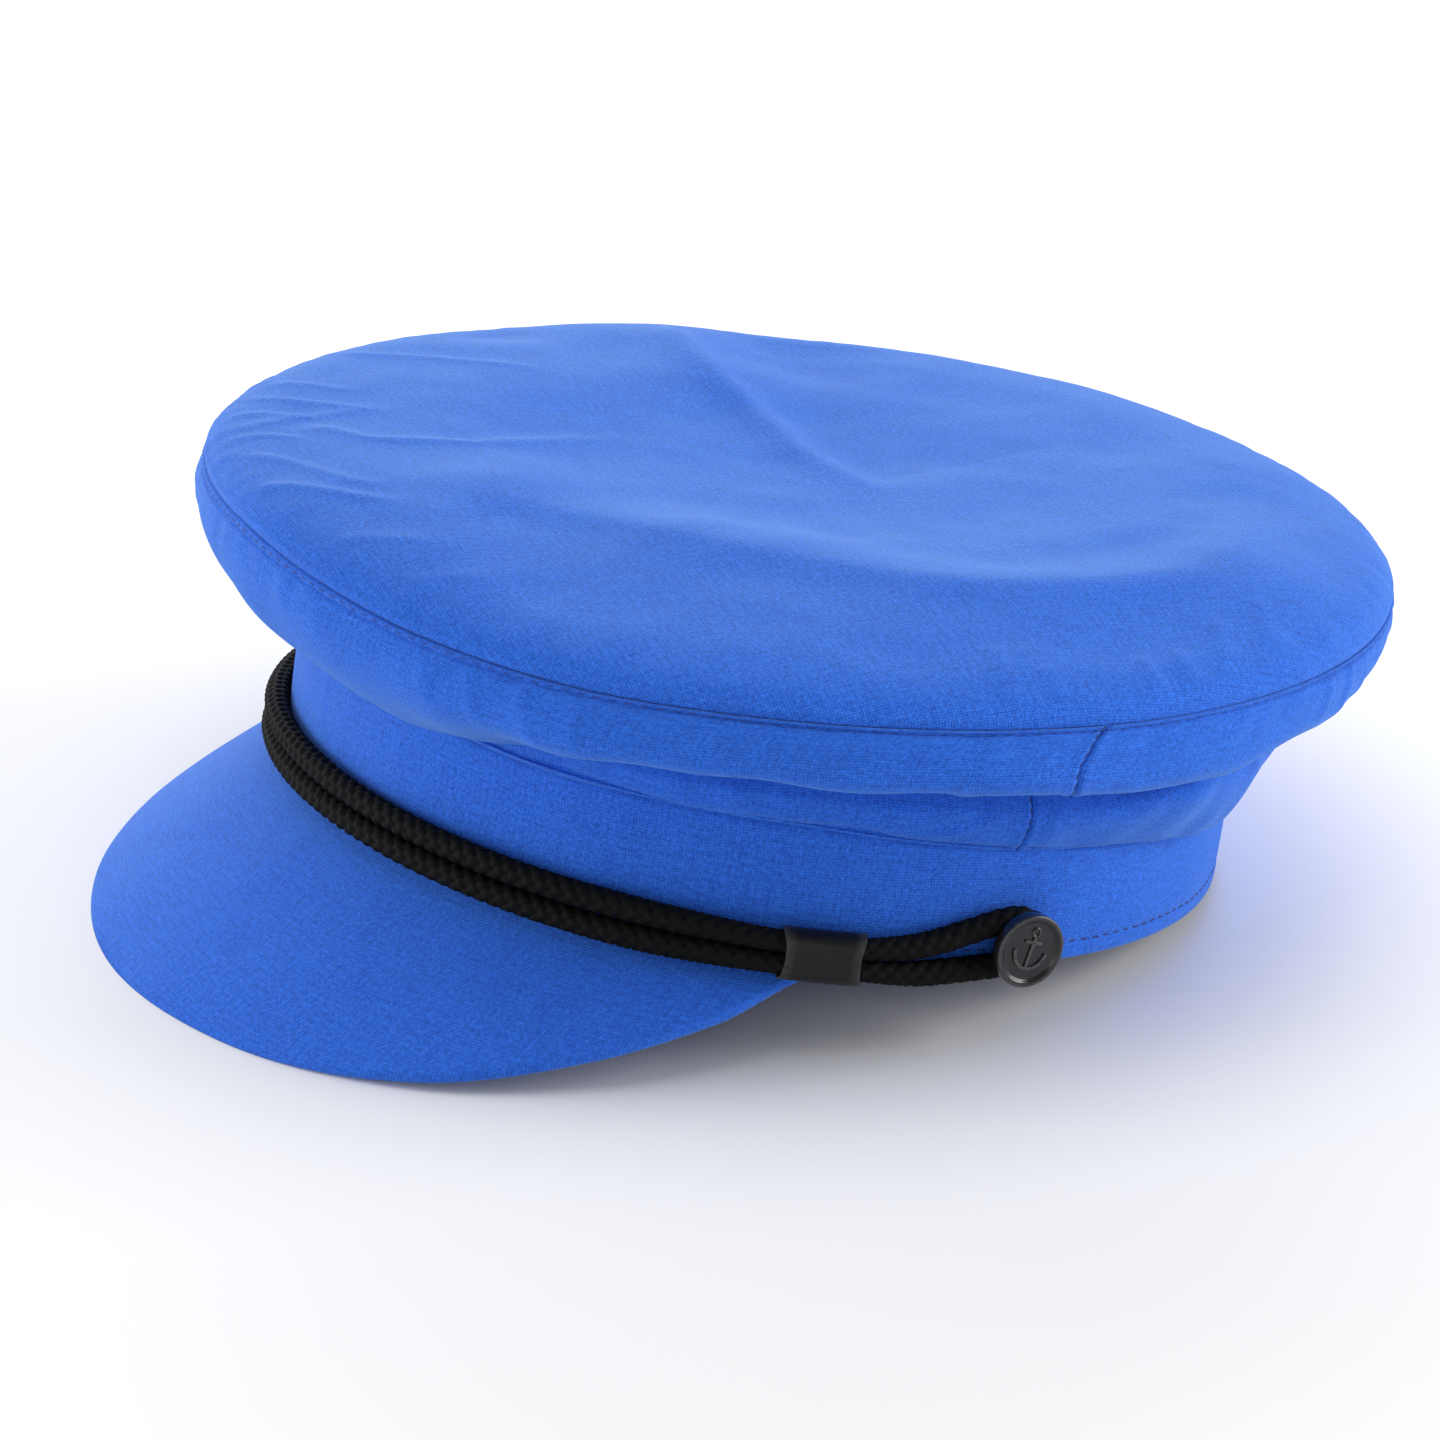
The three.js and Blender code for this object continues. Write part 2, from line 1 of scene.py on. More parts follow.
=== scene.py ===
"""Looks of a breton fisherman cap: blue cotton crown, band and peak, and a braided chin cord.

Shapes are worked out in the cap's own upright frame, in millimetres, with angles that count from
the front and are positive towards the wearer's left. Each one is then laid down as the cap rests
on the table and turned into metres.
"""

import logging
import math
from dataclasses import dataclass
from enum import Enum
from typing import Any

import bpy
import numpy as np
from mathutils import Matrix, Vector


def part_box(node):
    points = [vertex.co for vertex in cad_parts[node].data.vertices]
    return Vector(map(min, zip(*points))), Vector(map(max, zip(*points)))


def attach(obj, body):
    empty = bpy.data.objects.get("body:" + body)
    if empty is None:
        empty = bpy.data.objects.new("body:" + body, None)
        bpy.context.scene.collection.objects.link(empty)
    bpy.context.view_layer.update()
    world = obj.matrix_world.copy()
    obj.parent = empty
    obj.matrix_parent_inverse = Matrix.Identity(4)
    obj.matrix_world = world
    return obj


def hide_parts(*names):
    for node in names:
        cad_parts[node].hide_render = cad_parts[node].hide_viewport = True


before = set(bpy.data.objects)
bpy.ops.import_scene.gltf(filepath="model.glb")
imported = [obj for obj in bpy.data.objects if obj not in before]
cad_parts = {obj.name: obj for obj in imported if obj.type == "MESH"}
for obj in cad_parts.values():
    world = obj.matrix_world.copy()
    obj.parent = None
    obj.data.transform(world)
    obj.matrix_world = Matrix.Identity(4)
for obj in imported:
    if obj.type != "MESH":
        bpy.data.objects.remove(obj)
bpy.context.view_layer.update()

MM = 0.001
LOG = logging.getLogger("cap")


class Slot(Enum):
    """Names of the material slots."""

    CLOTH = "cloth"
    CORD = "cord"
    KEEPER = "keeper"
    BUTTON = "button"


class Side(Enum):
    """The wearer's left and right, with the sign of their angles."""

    LEFT = 1
    RIGHT = -1

    @property
    def label(self) -> str:
        """Word for the side, as the names of the pieces use it."""
        return self.name.lower()


class Table:
    """Smooth line through rows of a place and a value, which never overshoots its rows."""

    def __init__(self, *rows: tuple[float, float]) -> None:
        """Keeps the rows and works out the line's slope at each of them.

        Args:
            rows: pairs of a place and the value there, in rising order of place.
        """
        self.places = np.array([row[0] for row in rows], float)
        self.values = np.array([row[1] for row in rows], float)
        steps = np.diff(self.values) / np.diff(self.places)
        before, after = steps[:-1], steps[1:]
        same_way = before * after > 0
        total = np.where(same_way, before + after, 1.0)
        inner = np.where(same_way, 2 * before * after / total, 0.0)
        self.slopes = np.concatenate([[0.0], inner, [0.0]])

    def at(self, place: np.ndarray | float) -> np.ndarray:
        """Value at a place.

        Args:
            place: where to read the table.

        Returns:
            The smooth value there.
        """
        place = np.asarray(place, float)
        row = np.clip(np.searchsorted(self.places, place) - 1, 0, len(self.places) - 2)
        span = self.places[row + 1] - self.places[row]
        t = np.clip((place - self.places[row]) / span, 0, 1)
        low, high = self.values[row], self.values[row + 1]
        start, end = self.slopes[row] * span, self.slopes[row + 1] * span
        return (
            (2 * t**3 - 3 * t**2 + 1) * low
            + (t**3 - 2 * t**2 + t) * start
            + (3 * t**2 - 2 * t**3) * high
            + (t**3 - t**2) * end
        )


class Waves:
    """Soft random unevenness of cloth: a sum of waves with a fixed seed."""

    def __init__(self, seed: int, shortest: float, longest: float, count: int = 24) -> None:
        """Draws the waves.

        Args:
            seed: makes the draw the same each time.
            shortest: shortest wave, in millimetres.
            longest: longest wave, in millimetres.
            count: number of waves.
        """
        draw = np.random.default_rng(seed)
        length = shortest * (longest / shortest) ** draw.random(count)
        heading = draw.random(count) * 2 * math.pi
        self.across = 2 * math.pi * np.cos(heading) / length
        self.along = 2 * math.pi * np.sin(heading) / length
        self.phase = draw.random(count) * 2 * math.pi
        self.count = count

    def at(self, across: np.ndarray, along: np.ndarray) -> np.ndarray:
        """Height of the waves, mostly between -1 and 1.

        Args:
            across: places across, in millimetres.
            along: places along, in millimetres.

        Returns:
            The height at each place.
        """
        total = np.zeros(np.broadcast(across, along).shape)
        for k in range(self.count):
            total += np.sin(self.across[k] * across + self.along[k] * along + self.phase[k])
        return total / math.sqrt(self.count)


def bell(distance: np.ndarray | float, spread: float) -> np.ndarray:
    """Smooth hump of height 1 that fades over a spread.

    Args:
        distance: distance from the hump's middle.
        spread: how far the hump reaches.

    Returns:
        The hump's height at that distance.
    """
    return np.exp(-((np.asarray(distance) / spread) ** 2))


def ease(value: np.ndarray | float, low: float, high: float) -> np.ndarray:
    """Share of the way from low to high, eased at both ends.

    Args:
        value: what is compared.
        low: value at which the share is 0.
        high: value at which the share is 1.

    Returns:
        The share, from 0 to 1.
    """
    t = np.clip((np.asarray(value) - low) / (high - low), 0, 1)
    return t * t * (3 - 2 * t)


@dataclass(frozen=True)
class CapForm:
    """Main form of the cap, the same as in its CAD source."""

    band_length: float = 185.0
    band_width: float = 188.0
    band_wall: float = 2.0
    band_front: float = 28.5
    band_rear: float = 19.0
    rim_length: float = 232.0
    rim_width: float = 230.0
    rim_height: float = 58.0
    rim_back: float = 1.0
    rim_tilt: float = 3.3
    rim_lift: float = 4.8
    cloth: float = 1.6
    ply: float = 0.7
    press: float = 0.4
    seam_gap: float = 0.3
    tip: float = 9.3
    flattened: float = 0.8
    band_table = Table(
        (0, 1), (20, 0.87), (40, 0.71), (55, 0.70), (68, 0.69), (80, 0.57), (93, 0.43),
        (135, 0.2), (180, 0),
    )
    rim_table = Table(
        (-180, 0.1), (-150, 0.3), (-110, 0.45), (-60, 0.85), (-20, 1), (0, 1), (15, 0.55),
        (30, -0.05), (50, -0.45), (90, -0.45), (120, -0.25), (150, -0.05), (180, 0.1),
    )

    @staticmethod
    def from_front(angle: np.ndarray | float) -> np.ndarray:
        """Angle from the front without its side, in degrees."""
        return np.abs((np.asarray(angle, float) + 540) % 360 - 180)

    def band_height(self, angle: np.ndarray | float) -> np.ndarray:
        """Height of the band at an angle."""
        share = self.band_table.at(self.from_front(angle))
        return self.band_rear + (self.band_front - self.band_rear) * share

    def on_band(self, angle: Any, out: Any, height: Any) -> np.ndarray:
        """Point on the band's outside.

        Args:
            angle: angle from the front, in degrees.
            out: how far it is moved outwards.
            height: height over the band's lower edge.

        Returns:
            The points, with x, y and z in the last axis.
        """
        a, out, height = np.broadcast_arrays(np.radians(angle), out, height)
        return np.stack([
            (self.band_width / 2 + out) * np.sin(a),
            -(self.band_length / 2 + out) * np.cos(a),
            height.astype(float),
        ], axis=-1)

    def on_crown(self, side: np.ndarray, front: np.ndarray, up: np.ndarray) -> np.ndarray:
        """Point of the crown over the surface that its soft rim spans.

        Args:
            side: share of the rim's half width, to the left.
            front: share of the rim's half length, to the front.
            up: height over that surface.

        Returns:
            The points, with x, y and z in the last axis.
        """
        lift = self.rim_table.at(np.degrees(np.arctan2(side, front)))
        height = up + self.rim_lift * lift * (side**2 + front**2)
        x = self.rim_width / 2 * side
        y = -self.rim_length / 2 * front
        tilt = math.radians(self.rim_tilt)
        return np.stack([
            x,
            y * math.cos(tilt) - height * math.sin(tilt) + self.rim_back,
            y * math.sin(tilt) + height * math.cos(tilt) + self.rim_height,
        ], axis=-1)

    def laid(self, points: np.ndarray, pressed: bool = True) -> np.ndarray:
        """Points of the upright cap, laid on the table and in metres.

        Args:
            points: points in the cap's own frame.
            pressed: whether what reaches below the table is pressed to just over it, each layer
                still over the one below it.

        Returns:
            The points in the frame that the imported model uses.
        """
        tip = math.radians(self.tip)
        x, y, z = np.moveaxis(points, -1, 0)
        level = z * math.cos(tip) - y * math.sin(tip)
        level = level + self.band_length / 2 * math.sin(tip) - self.flattened
        if pressed:
            level = (level + np.hypot(level, self.press)) / 2
        back = y * math.cos(tip) + z * math.sin(tip)
        return np.stack([x, back, level], axis=-1) * MM + self.centring()

    def centring(self) -> np.ndarray:
        """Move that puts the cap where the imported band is, in metres."""
        tip = math.radians(self.tip)
        low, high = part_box("band")
        rear = self.band_length / 2 * math.cos(tip) + self.band_rear * math.sin(tip)
        return np.array([(low.x + high.x) / 2, high.y - rear * MM, 0.0])


FORM = CapForm()


def normals_of(points: np.ndarray, wraps: bool, centre: np.ndarray) -> np.ndarray:
    """Unit normals of a grid of points, pointing away from a centre.

    Args:
        points: grid of rows round the cap and columns down it.
        wraps: whether the last row joins the first.
        centre: point that the normals point away from.

    Returns:
        One normal for each point.
    """
    if wraps:
        around = np.roll(points, -1, 0) - np.roll(points, 1, 0)
    else:
        around = np.gradient(points, axis=0)
    cross = np.cross(around, np.gradient(points, axis=1))
    normal = cross / np.maximum(np.linalg.norm(cross, axis=-1, keepdims=True), 1e-9)
    return normal if np.sum(normal * (points - centre)) > 0 else -normal


def pushed(points: np.ndarray, wraps: bool, centre: np.ndarray, height: np.ndarray) -> np.ndarray:
    """Grid of points moved along its normals.

    Args:
        points: grid of rows round the cap and columns down it.
        wraps: whether the last row joins the first.
        centre: point that the normals point away from.
        height: how far each point moves.

    Returns:
        The moved grid.
    """
    return points + normals_of(points, wraps, centre) * height[..., None]


def lengths_down(points: np.ndarray) -> np.ndarray:
    """Length along each row of a grid, from its first point."""
    steps = np.linalg.norm(np.diff(points, axis=1), axis=-1)
    return np.concatenate([np.zeros((len(points), 1)), np.cumsum(steps, axis=1)], axis=1)


@dataclass
class Skin:
    """A grid of points that becomes a mesh, with the cloth's own coordinates on it."""

    name: str
    points: np.ndarray
    weave: np.ndarray
    wraps: bool
    centre: tuple[float, float, float] = (0.0, 0.0, 0.03)
    loops: bool = False
    capped: bool = False

    def build(self) -> bpy.types.Object:
        """Makes the mesh object, with outward faces and a UV map of the weave.

        Returns:
            The new object.
        """
        rows, cols = self.points.shape[:2]
        i, j = np.meshgrid(
            np.arange(rows if self.wraps else rows - 1),
            np.arange(cols if self.loops else cols - 1), indexing="ij")
        i, j = i.ravel(), j.ravel()
        k, m = i + 1, j + 1
        corners = [(i, j), (k, j), (k, m), (i, m)]
        faces = np.stack([(a % rows) * cols + b % cols for a, b in corners], axis=1)
        uv = np.stack([self.weave[a, b] for a, b in corners], axis=1)
        flat = self.points.reshape(-1, 3)
        a, b, c = (flat[faces[:, n]] for n in (0, 1, 3))
        facing = np.sum(np.cross(b - a, c - a) * (a - np.array(self.centre)))
        if facing < 0:
            faces, uv = faces[:, ::-1], uv[:, ::-1]
        polygons = faces.tolist()
        corner_uv = uv.reshape(-1, 2).tolist()
        if self.capped:
            for row in (0, rows - 1):
                ring = [row * cols + n for n in range(cols)]
                if (row == 0) == (facing < 0):
                    ring.reverse()
                polygons.append(ring)
                corner_uv += [self.weave[row, n % cols].tolist() for n in range(cols)]
        mesh = bpy.data.meshes.new(self.name)
        mesh.from_pydata(flat.tolist(), [], polygons)
        layer = mesh.uv_layers.new(name="weave")
        layer.data.foreach_set("uv", np.array(corner_uv, np.float32).ravel())
        mesh.shade_smooth()
        mesh.update()
        made = bpy.data.objects.new(self.name, mesh)
        bpy.context.scene.collection.objects.link(made)
        return made


def select_only(*objects: bpy.types.Object) -> None:
    """Deselects everything else and makes the last of these objects active."""
    bpy.ops.object.select_all(action="DESELECT")
    for made in objects:
        made.select_set(True)
        bpy.context.view_layer.objects.active = made


def apply_modifier(made: bpy.types.Object, kind: str, **settings: Any) -> None:
    """Adds a modifier to an object and applies it at once.

    Args:
        made: the object.
        kind: the modifier's type.
        settings: the modifier's settings.
    """
    select_only(made)
    modifier = made.modifiers.new(kind.lower(), kind)
    for key, value in settings.items():
        setattr(modifier, key, value)
    bpy.ops.object.modifier_apply(modifier=modifier.name)


def thicken(made: bpy.types.Object, wall: float) -> None:
    """Gives a skin its cloth's thickness, inwards, in millimetres."""
    apply_modifier(made, "SOLIDIFY", thickness=wall * MM, offset=-1.0, use_even_offset=False)


def dress(
    made: bpy.types.Object, finish: bpy.types.Material, slot: Slot, *nodes: str
) -> bpy.types.Object:
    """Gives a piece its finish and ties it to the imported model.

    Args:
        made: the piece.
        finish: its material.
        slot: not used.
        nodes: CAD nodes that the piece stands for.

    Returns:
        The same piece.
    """
    made.data.materials.clear()
    made.data.materials.append(finish)
    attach(made, "root")
    if nodes:
        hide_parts(*nodes)
    LOG.info("%s: %d faces", made.name, len(made.data.polygons))
    return made


class Value:
    """A number in a shader, on which Python's operators add Math nodes."""

    def __init__(self, graph: "Graph", socket: bpy.types.NodeSocket) -> None:
        """Keeps the graph and the output socket that the number comes from."""
        self.graph = graph
        self.socket = socket

    def _math(self, operation: str, *others: Any, swap: bool = False) -> "Value":
        """Math node on this number and others, in reverse order if swap is true."""
        inputs = [self, *others]
        if swap:
            inputs.reverse()
        node = self.graph.node("ShaderNodeMath", {"operation": operation}, dict(enumerate(inputs)))
        return node.value(0)

    def __add__(self, other: Any) -> "Value":
        """Sum."""
        return self._math("ADD", other)

    def __radd__(self, other: Any) -> "Value":
        """Sum, from the right."""
        return self._math("ADD", other, swap=True)

    def __sub__(self, other: Any) -> "Value":
        """Difference."""
        return self._math("SUBTRACT", other)

    def __rsub__(self, other: Any) -> "Value":
        """Difference, from the right."""
        return self._math("SUBTRACT", other, swap=True)

    def __mul__(self, other: Any) -> "Value":
        """Product."""
        return self._math("MULTIPLY", other)

    def __rmul__(self, other: Any) -> "Value":
        """Product, from the right."""
        return self._math("MULTIPLY", other, swap=True)

    def __pow__(self, other: Any) -> "Value":
        """Power."""
        return self._math("POWER", other)

    def sine(self) -> "Value":
        """Sine."""
        return self._math("SINE")

    def size(self) -> "Value":
        """The number without its sign."""
        return self._math("ABSOLUTE")


class Made:
    """A node of a shader, from which outputs are read."""

    def __init__(self, graph: "Graph", node: bpy.types.Node) -> None:
        """Keeps the graph and the node."""
        self.graph = graph
        self.node = node

    def value(self, name: int | str) -> Value:
        """An output as a number."""
        return Value(self.graph, self.node.outputs[name])


class Graph:
    """A material's node tree, with one way to add a node."""

    def __init__(self, name: str) -> None:
        """Makes an empty material of that name with its output node."""
        self.material = bpy.data.materials.new(name)
        self.material.use_nodes = True
        self.tree = self.material.node_tree
        self.tree.nodes.clear()

    def node(self, kind: str, settings: dict[str, Any], values: dict[int | str, Any]) -> Made:
        """Adds a node.

        Args:
            kind: the node's type.
            settings: its settings, set first.
            values: a number, colour or link for each named or counted socket.

        Returns:
            The node.
        """
        made = self.tree.nodes.new(kind)
        for key, value in settings.items():
            setattr(made, key, value)
        for name, value in values.items():
            if isinstance(value, Value):
                self.tree.links.new(value.socket, made.inputs[name])
            else:
                made.inputs[name].default_value = value
        return Made(self, made)

    def mix(self, share: Any, first: Any, second: Any) -> Value:
        """Mix of two colours.

        Args:
            share: how much of the second colour there is.
            first: the first colour.
            second: the second colour.

        Returns:
            The mixed colour.
        """
        made = self.node("ShaderNodeMix", {"data_type": "RGBA"}, {0: share, 6: first, 7: second})
        return made.value(2)

    def noise(self, place: Value, scale: float, detail: float = 2.0) -> Value:
        """Noise at a place, about 0.5 on average."""
        values = {"Vector": place, "Scale": scale, "Detail": detail}
        return self.node("ShaderNodeTexNoise", {}, values).value("Fac")

    def held(self, value: Value) -> Value:
        """The number kept between 0 and 1."""
        return self.node("ShaderNodeClamp", {}, {0: value}).value(0)

    def point(self, x: Any, y: Any, z: Any = 0.0) -> Value:
        """Vector from three numbers."""
        return self.node("ShaderNodeCombineXYZ", {}, {0: x, 1: y, 2: z}).value(0)

    def weave_place(self) -> tuple[Value, Value]:
        """The cloth's own two coordinates, in metres, from the piece's UV map."""
        uv = self.node("ShaderNodeUVMap", {"uv_map": "weave"}, {})
        apart = self.node("ShaderNodeSeparateXYZ", {}, {0: uv.value(0)})
        return apart.value(0), apart.value(1)

    def object_place(self) -> Value:
        """The place on the object, in metres."""
        return self.node("ShaderNodeTexCoord", {}, {}).value("Object")

    def bump(self, height: Value, distance: float, strength: float) -> Value:
        """Normal that is bent by a height.

        Args:
            height: height of the relief, from 0 to 1.
            distance: height of 1, in metres.
            strength: share of the bump that shows.

        Returns:
            The bent normal.
        """
        made = self.node("ShaderNodeBump", {}, {
            "Strength": strength, "Distance": distance, "Height": height})
        return made.value("Normal")

    def finish(self, values: dict[str, Any]) -> bpy.types.Material:
        """Adds the surface shader with these values and joins it to the output."""
        shader = self.node("ShaderNodeBsdfPrincipled", {}, values)
        self.node("ShaderNodeOutputMaterial", {}, {"Surface": shader.value(0)})
        return self.material


@dataclass(frozen=True)
class Cotton:
    """Plain weave cotton, with its threads, slubs and a faint sheen."""

    name: str = "royal_blue_cotton"
    deep: tuple[float, float, float, float] = (0.007, 0.050, 0.37, 1.0)
    bright: tuple[float, float, float, float] = (0.031, 0.186, 0.83, 1.0)
    thread: float = 0.54 * MM
    relief: float = 0.13 * MM
    stray: float = 0.52 * MM
    strays_per_metre: float = 620.0
    slubs_across: float = 1900.0
    slubs_along: float = 130.0
    flecks_per_metre: float = 1300.0
    clouds_per_metre: float = 55.0
    roundness: float = 0.7

    def make(self) -> bpy.types.Material:
        """Makes the material."""
        graph = Graph(self.name)
        u, v = graph.weave_place()
        sway = graph.noise(graph.point(u, v), self.strays_per_metre) - 0.5
        drift = graph.noise(graph.point(v, u), self.strays_per_metre) - 0.5
        warp = ((u + sway * self.stray) * (math.pi / self.thread)).sine()
        weft = ((v + drift * self.stray) * (math.pi / self.thread)).sine()
        crossing = warp * weft
        bumps = (warp.size() ** self.roundness + weft.size() ** self.roundness) * 0.5
        thin, long = self.slubs_across, self.slubs_along
        long_slub = graph.noise(graph.point(u * thin, v * long), 1.0)
        short_slub = graph.noise(graph.point(u * long, v * thin), 1.0)
        slub = long_slub + short_slub - 1.0
        mottle = graph.noise(graph.point(u, v), self.clouds_per_metre, 3.0) - 0.5
        fleck = graph.noise(graph.point(u, v), self.flecks_per_metre, 1.0) - 0.5
        # Colour follows the weave: darker in the gaps between threads, which is painted shade;
        # slubs, mottle and flecks are the yarn's own tone.
        share = bumps * 0.80 + crossing * 0.08 + slub * 0.50 + mottle * 0.12 + fleck - 0.09
        tone_and_painted_shade = graph.held(share)
        height = bumps * 0.8 + slub * 0.30 + fleck * 0.3 + crossing * 0.10
        return graph.finish({
            "Base Color": graph.mix(tone_and_painted_shade, self.deep, self.bright),
            "Roughness": 0.86,
            "Specular IOR Level": 0.22,
            "Sheen Weight": 0.22,
            "Sheen Roughness": 0.45,
            "Sheen Tint": (0.50, 0.90, 1.0, 1.0),
            "Normal": graph.bump(height, self.relief, 0.75),
        })


@dataclass(frozen=True)
class Thread:
    """Twisted sewing thread."""

    name: str = "blue_thread_with_painted_shade"
    # Default colours darker than the cloth's: the rim stitches are of the cloth's own blue, and this
    # darkness is painted shade.
    deep: tuple[float, float, float, float] = (0.004, 0.022, 0.17, 1.0)
    bright: tuple[float, float, float, float] = (0.012, 0.060, 0.40, 1.0)

    def make(self) -> bpy.types.Material:
        """Makes the material."""
        graph = Graph(self.name)
        fuzz = graph.noise(graph.object_place(), 4200.0, 2.0)
        return graph.finish({
            "Base Color": graph.mix(fuzz, self.deep, self.bright),
            "Roughness": 0.7,
            "Normal": graph.bump(fuzz, 0.05 * MM, 0.6),
        })


@dataclass(frozen=True)
class Braid:
    """Matte black braiding yarn with fine fibres along each strand."""

    name: str = "black_braid"
    deep: tuple[float, float, float, float] = (0.0008, 0.0008, 0.0009, 1.0)
    bright: tuple[float, float, float, float] = (0.0062, 0.0062, 0.0058, 1.0)

    def make(self) -> bpy.types.Material:
        """Makes the material."""
        graph = Graph(self.name)
        place = graph.object_place()
        fibre = graph.noise(place, 2600.0, 3.0)
        tuft = graph.noise(place, 420.0, 2.0)
        share = fibre * 0.8 + tuft * 0.5 - 0.15
        return graph.finish({
            "Base Color": graph.mix(share, self.deep, self.bright),
            "Roughness": 0.75,
            "Specular IOR Level": 0.11,
            "Normal": graph.bump(fibre, 0.09 * MM, 0.8),
        })


@dataclass(frozen=True)
class Enamel:
    """Charcoal enamel on metal, lighter on raised edges: partly wear, partly painted highlight."""

    name: str
    gloss: float
    coat: float
    shine: float
    base: tuple[float, float, float, float] = (0.0032, 0.0033, 0.0035, 1.0)
    # Colour of the lightened places: worn enamel and painted highlight.
    worn_and_highlight: tuple[float, float, float, float] = (0.10, 0.10, 0.098, 1.0)

    def make(self) -> bpy.types.Material:
        """Makes the material."""
        graph = Graph(self.name)
        place = graph.object_place()
        # The attribute lightens the colour on edges and relief: partly wear, partly painted
        # highlight.
        wear_and_highlight = graph.node("ShaderNodeAttribute", {"attribute_name": "wear_and_highlight"}, {}).value("Fac")
        grain = graph.noise(place, 900.0, 3.0)
        scuff = graph.noise(place, 2600.0, 2.0)
        share = wear_and_highlight * (grain * 1.3) + (scuff - 0.45) * 0.12
        return graph.finish({
            "Base Color": graph.mix(graph.held(share), self.base, self.worn_and_highlight),
            "Metallic": 0.0,
            "Roughness": grain * 0.16 + self.gloss,
            "Specular IOR Level": self.shine,
            "Coat Weight": self.coat,
            "Coat Roughness": 0.12,
            "Normal": graph.bump(grain, 0.03 * MM, 0.5),
        })


@dataclass(frozen=True)
class TableTop:
    """Pale matte surface under the cap."""

    name: str = "pale_surface"

    def make(self) -> bpy.types.Material:
        """Makes the material."""
        graph = Graph(self.name)
        cloud = graph.noise(graph.object_place(), 3.0, 2.0)
        return graph.finish({
            "Base Color": graph.mix(cloud, (0.86, 0.86, 0.86, 1.0), (0.89, 0.89, 0.89, 1.0)),
            "Roughness": 0.7,
        })


@dataclass
class Stitching:
    """One row of sewn stitches, each a short round stitch that is sunk into the cloth."""

    name: str
    length: float = 1.75
    spacing: float = 2.9
    thick: float = 0.44
    sunk: float = 0.07
    sides: int = 6
    rings: int = 5

    def stitch(self) -> tuple[np.ndarray, np.ndarray]:
        """One stitch along its own first axis, as points and triangles.

        Returns:
            Points in millimetres and corner numbers.
        """
        bpy.ops.object.select_all(action="DESELECT")
        bpy.ops.mesh.primitive_uv_sphere_add(
            segments=self.sides, ring_count=self.rings, radius=0.5, rotation=(0, math.pi / 2, 0))
        ball = bpy.context.active_object
        bpy.ops.object.transform_apply(location=True, rotation=True, scale=True)
        apply_modifier(ball, "TRIANGULATE")
        points = np.array([v.co for v in ball.data.vertices], float)
        faces = np.array([p.vertices[:] for p in ball.data.polygons])
        bpy.data.objects.remove(ball)
        blunt = np.sign(points[:, :1]) * np.abs(points[:, :1] * 2) ** 0.6 / 2
        points = np.concatenate([blunt, points[:, 1:]], axis=1)
        return points * np.array([self.length, self.thick, self.thick]), faces

    def sew(self, line: np.ndarray, normal: np.ndarray) -> bpy.types.Object:
        """Sews stitches along a line.

        Args:
            line: points of the line in the cap's upright frame.
            normal: direction out of the cloth at each of them.

        Returns:
            One object with all the stitches.
        """
        steps = np.linalg.norm(np.diff(line, axis=0), axis=1)
        way = np.concatenate([[0], np.cumsum(steps)])
        count = max(1, int(way[-1] / self.spacing))
        places = (np.arange(count) + 0.5) * way[-1] / count

        def read(values: np.ndarray, at: np.ndarray) -> np.ndarray:
            """Values along the line at some distances."""
            return np.stack([np.interp(at, way, values[:, n]) for n in range(3)], axis=1)

        middle, up = read(line, places), read(normal, places)
        ahead = read(line, places + 0.3) - read(line, places - 0.3)
        ahead /= np.linalg.norm(ahead, axis=1, keepdims=True)
        side = np.cross(up, ahead)
        side /= np.linalg.norm(side, axis=1, keepdims=True)
        up = np.cross(ahead, side)
        points, faces = self.stitch()
        turn = np.stack([ahead, side, up], axis=1)
        placed = np.einsum("pk,nkx->npx", points, turn) + (middle - up * self.sunk)[:, None]
        corners = faces[None] + (np.arange(count) * len(points))[:, None, None]
        mesh = bpy.data.meshes.new(self.name)
        mesh.from_pydata(
            FORM.laid(placed.reshape(-1, 3)).tolist(), [], corners.reshape(-1, 3).tolist())
        mesh.shade_smooth()
        mesh.update()
        made = bpy.data.objects.new(self.name, mesh)
        bpy.context.scene.collection.objects.link(made)
        return made


@dataclass(frozen=True)
class Crease:
    """A crease of the cloth along a line of places on a panel."""

    high: float
    wide: float
    fall: float
    line: tuple[tuple[float, float], ...]

    def height(
        self, across: np.ndarray, along: np.ndarray, unit: tuple[float, float]
    ) -> np.ndarray:
        """Height of the crease, with the cloth on its right lower by its fall.

        Args:
            across: places across the panel, in the line's own measure.
            along: places along the panel, in the line's own measure.
            unit: millimetres in one of each measure.

        Returns:
            The height at each place, in millimetres.
        """
        across, along = np.broadcast_arrays(across * unit[0], along * unit[1])
        corners = (np.array(self.line) * np.array(unit)).T
        steps = np.linspace(0, len(self.line) - 1, 6 * len(self.line))
        path = np.stack([np.interp(steps, np.arange(len(self.line)), row) for row in corners])
        nearest = np.full(across.shape, np.inf)
        signed, reached = np.zeros(across.shape), np.zeros(across.shape)
        for k in range(path.shape[1] - 1):
            start, span = path[:, k], path[:, k + 1] - path[:, k]
            size = math.hypot(*span)
            x, y = across - start[0], along - start[1]
            way = np.clip((x * span[0] + y * span[1]) / size**2, 0, 1)
            away = np.hypot(x - way * span[0], y - way * span[1])
            closer = away < nearest
            nearest = np.where(closer, away, nearest)
            signed = np.where(closer, (x * span[1] - y * span[0]) / size, signed)
            reached = np.where(closer, (k + way) / (path.shape[1] - 1), reached)
        taper = ease(reached, 0, 0.25) * (1 - ease(reached, 0.7, 1))
        crest = self.high / (1 + (nearest / self.wide) ** 2) ** 1.5
        step = self.fall * 0.5 * (np.tanh(signed / self.wide) + 1) * bell(nearest, 5 * self.wide)
        return taper * (crest - step)


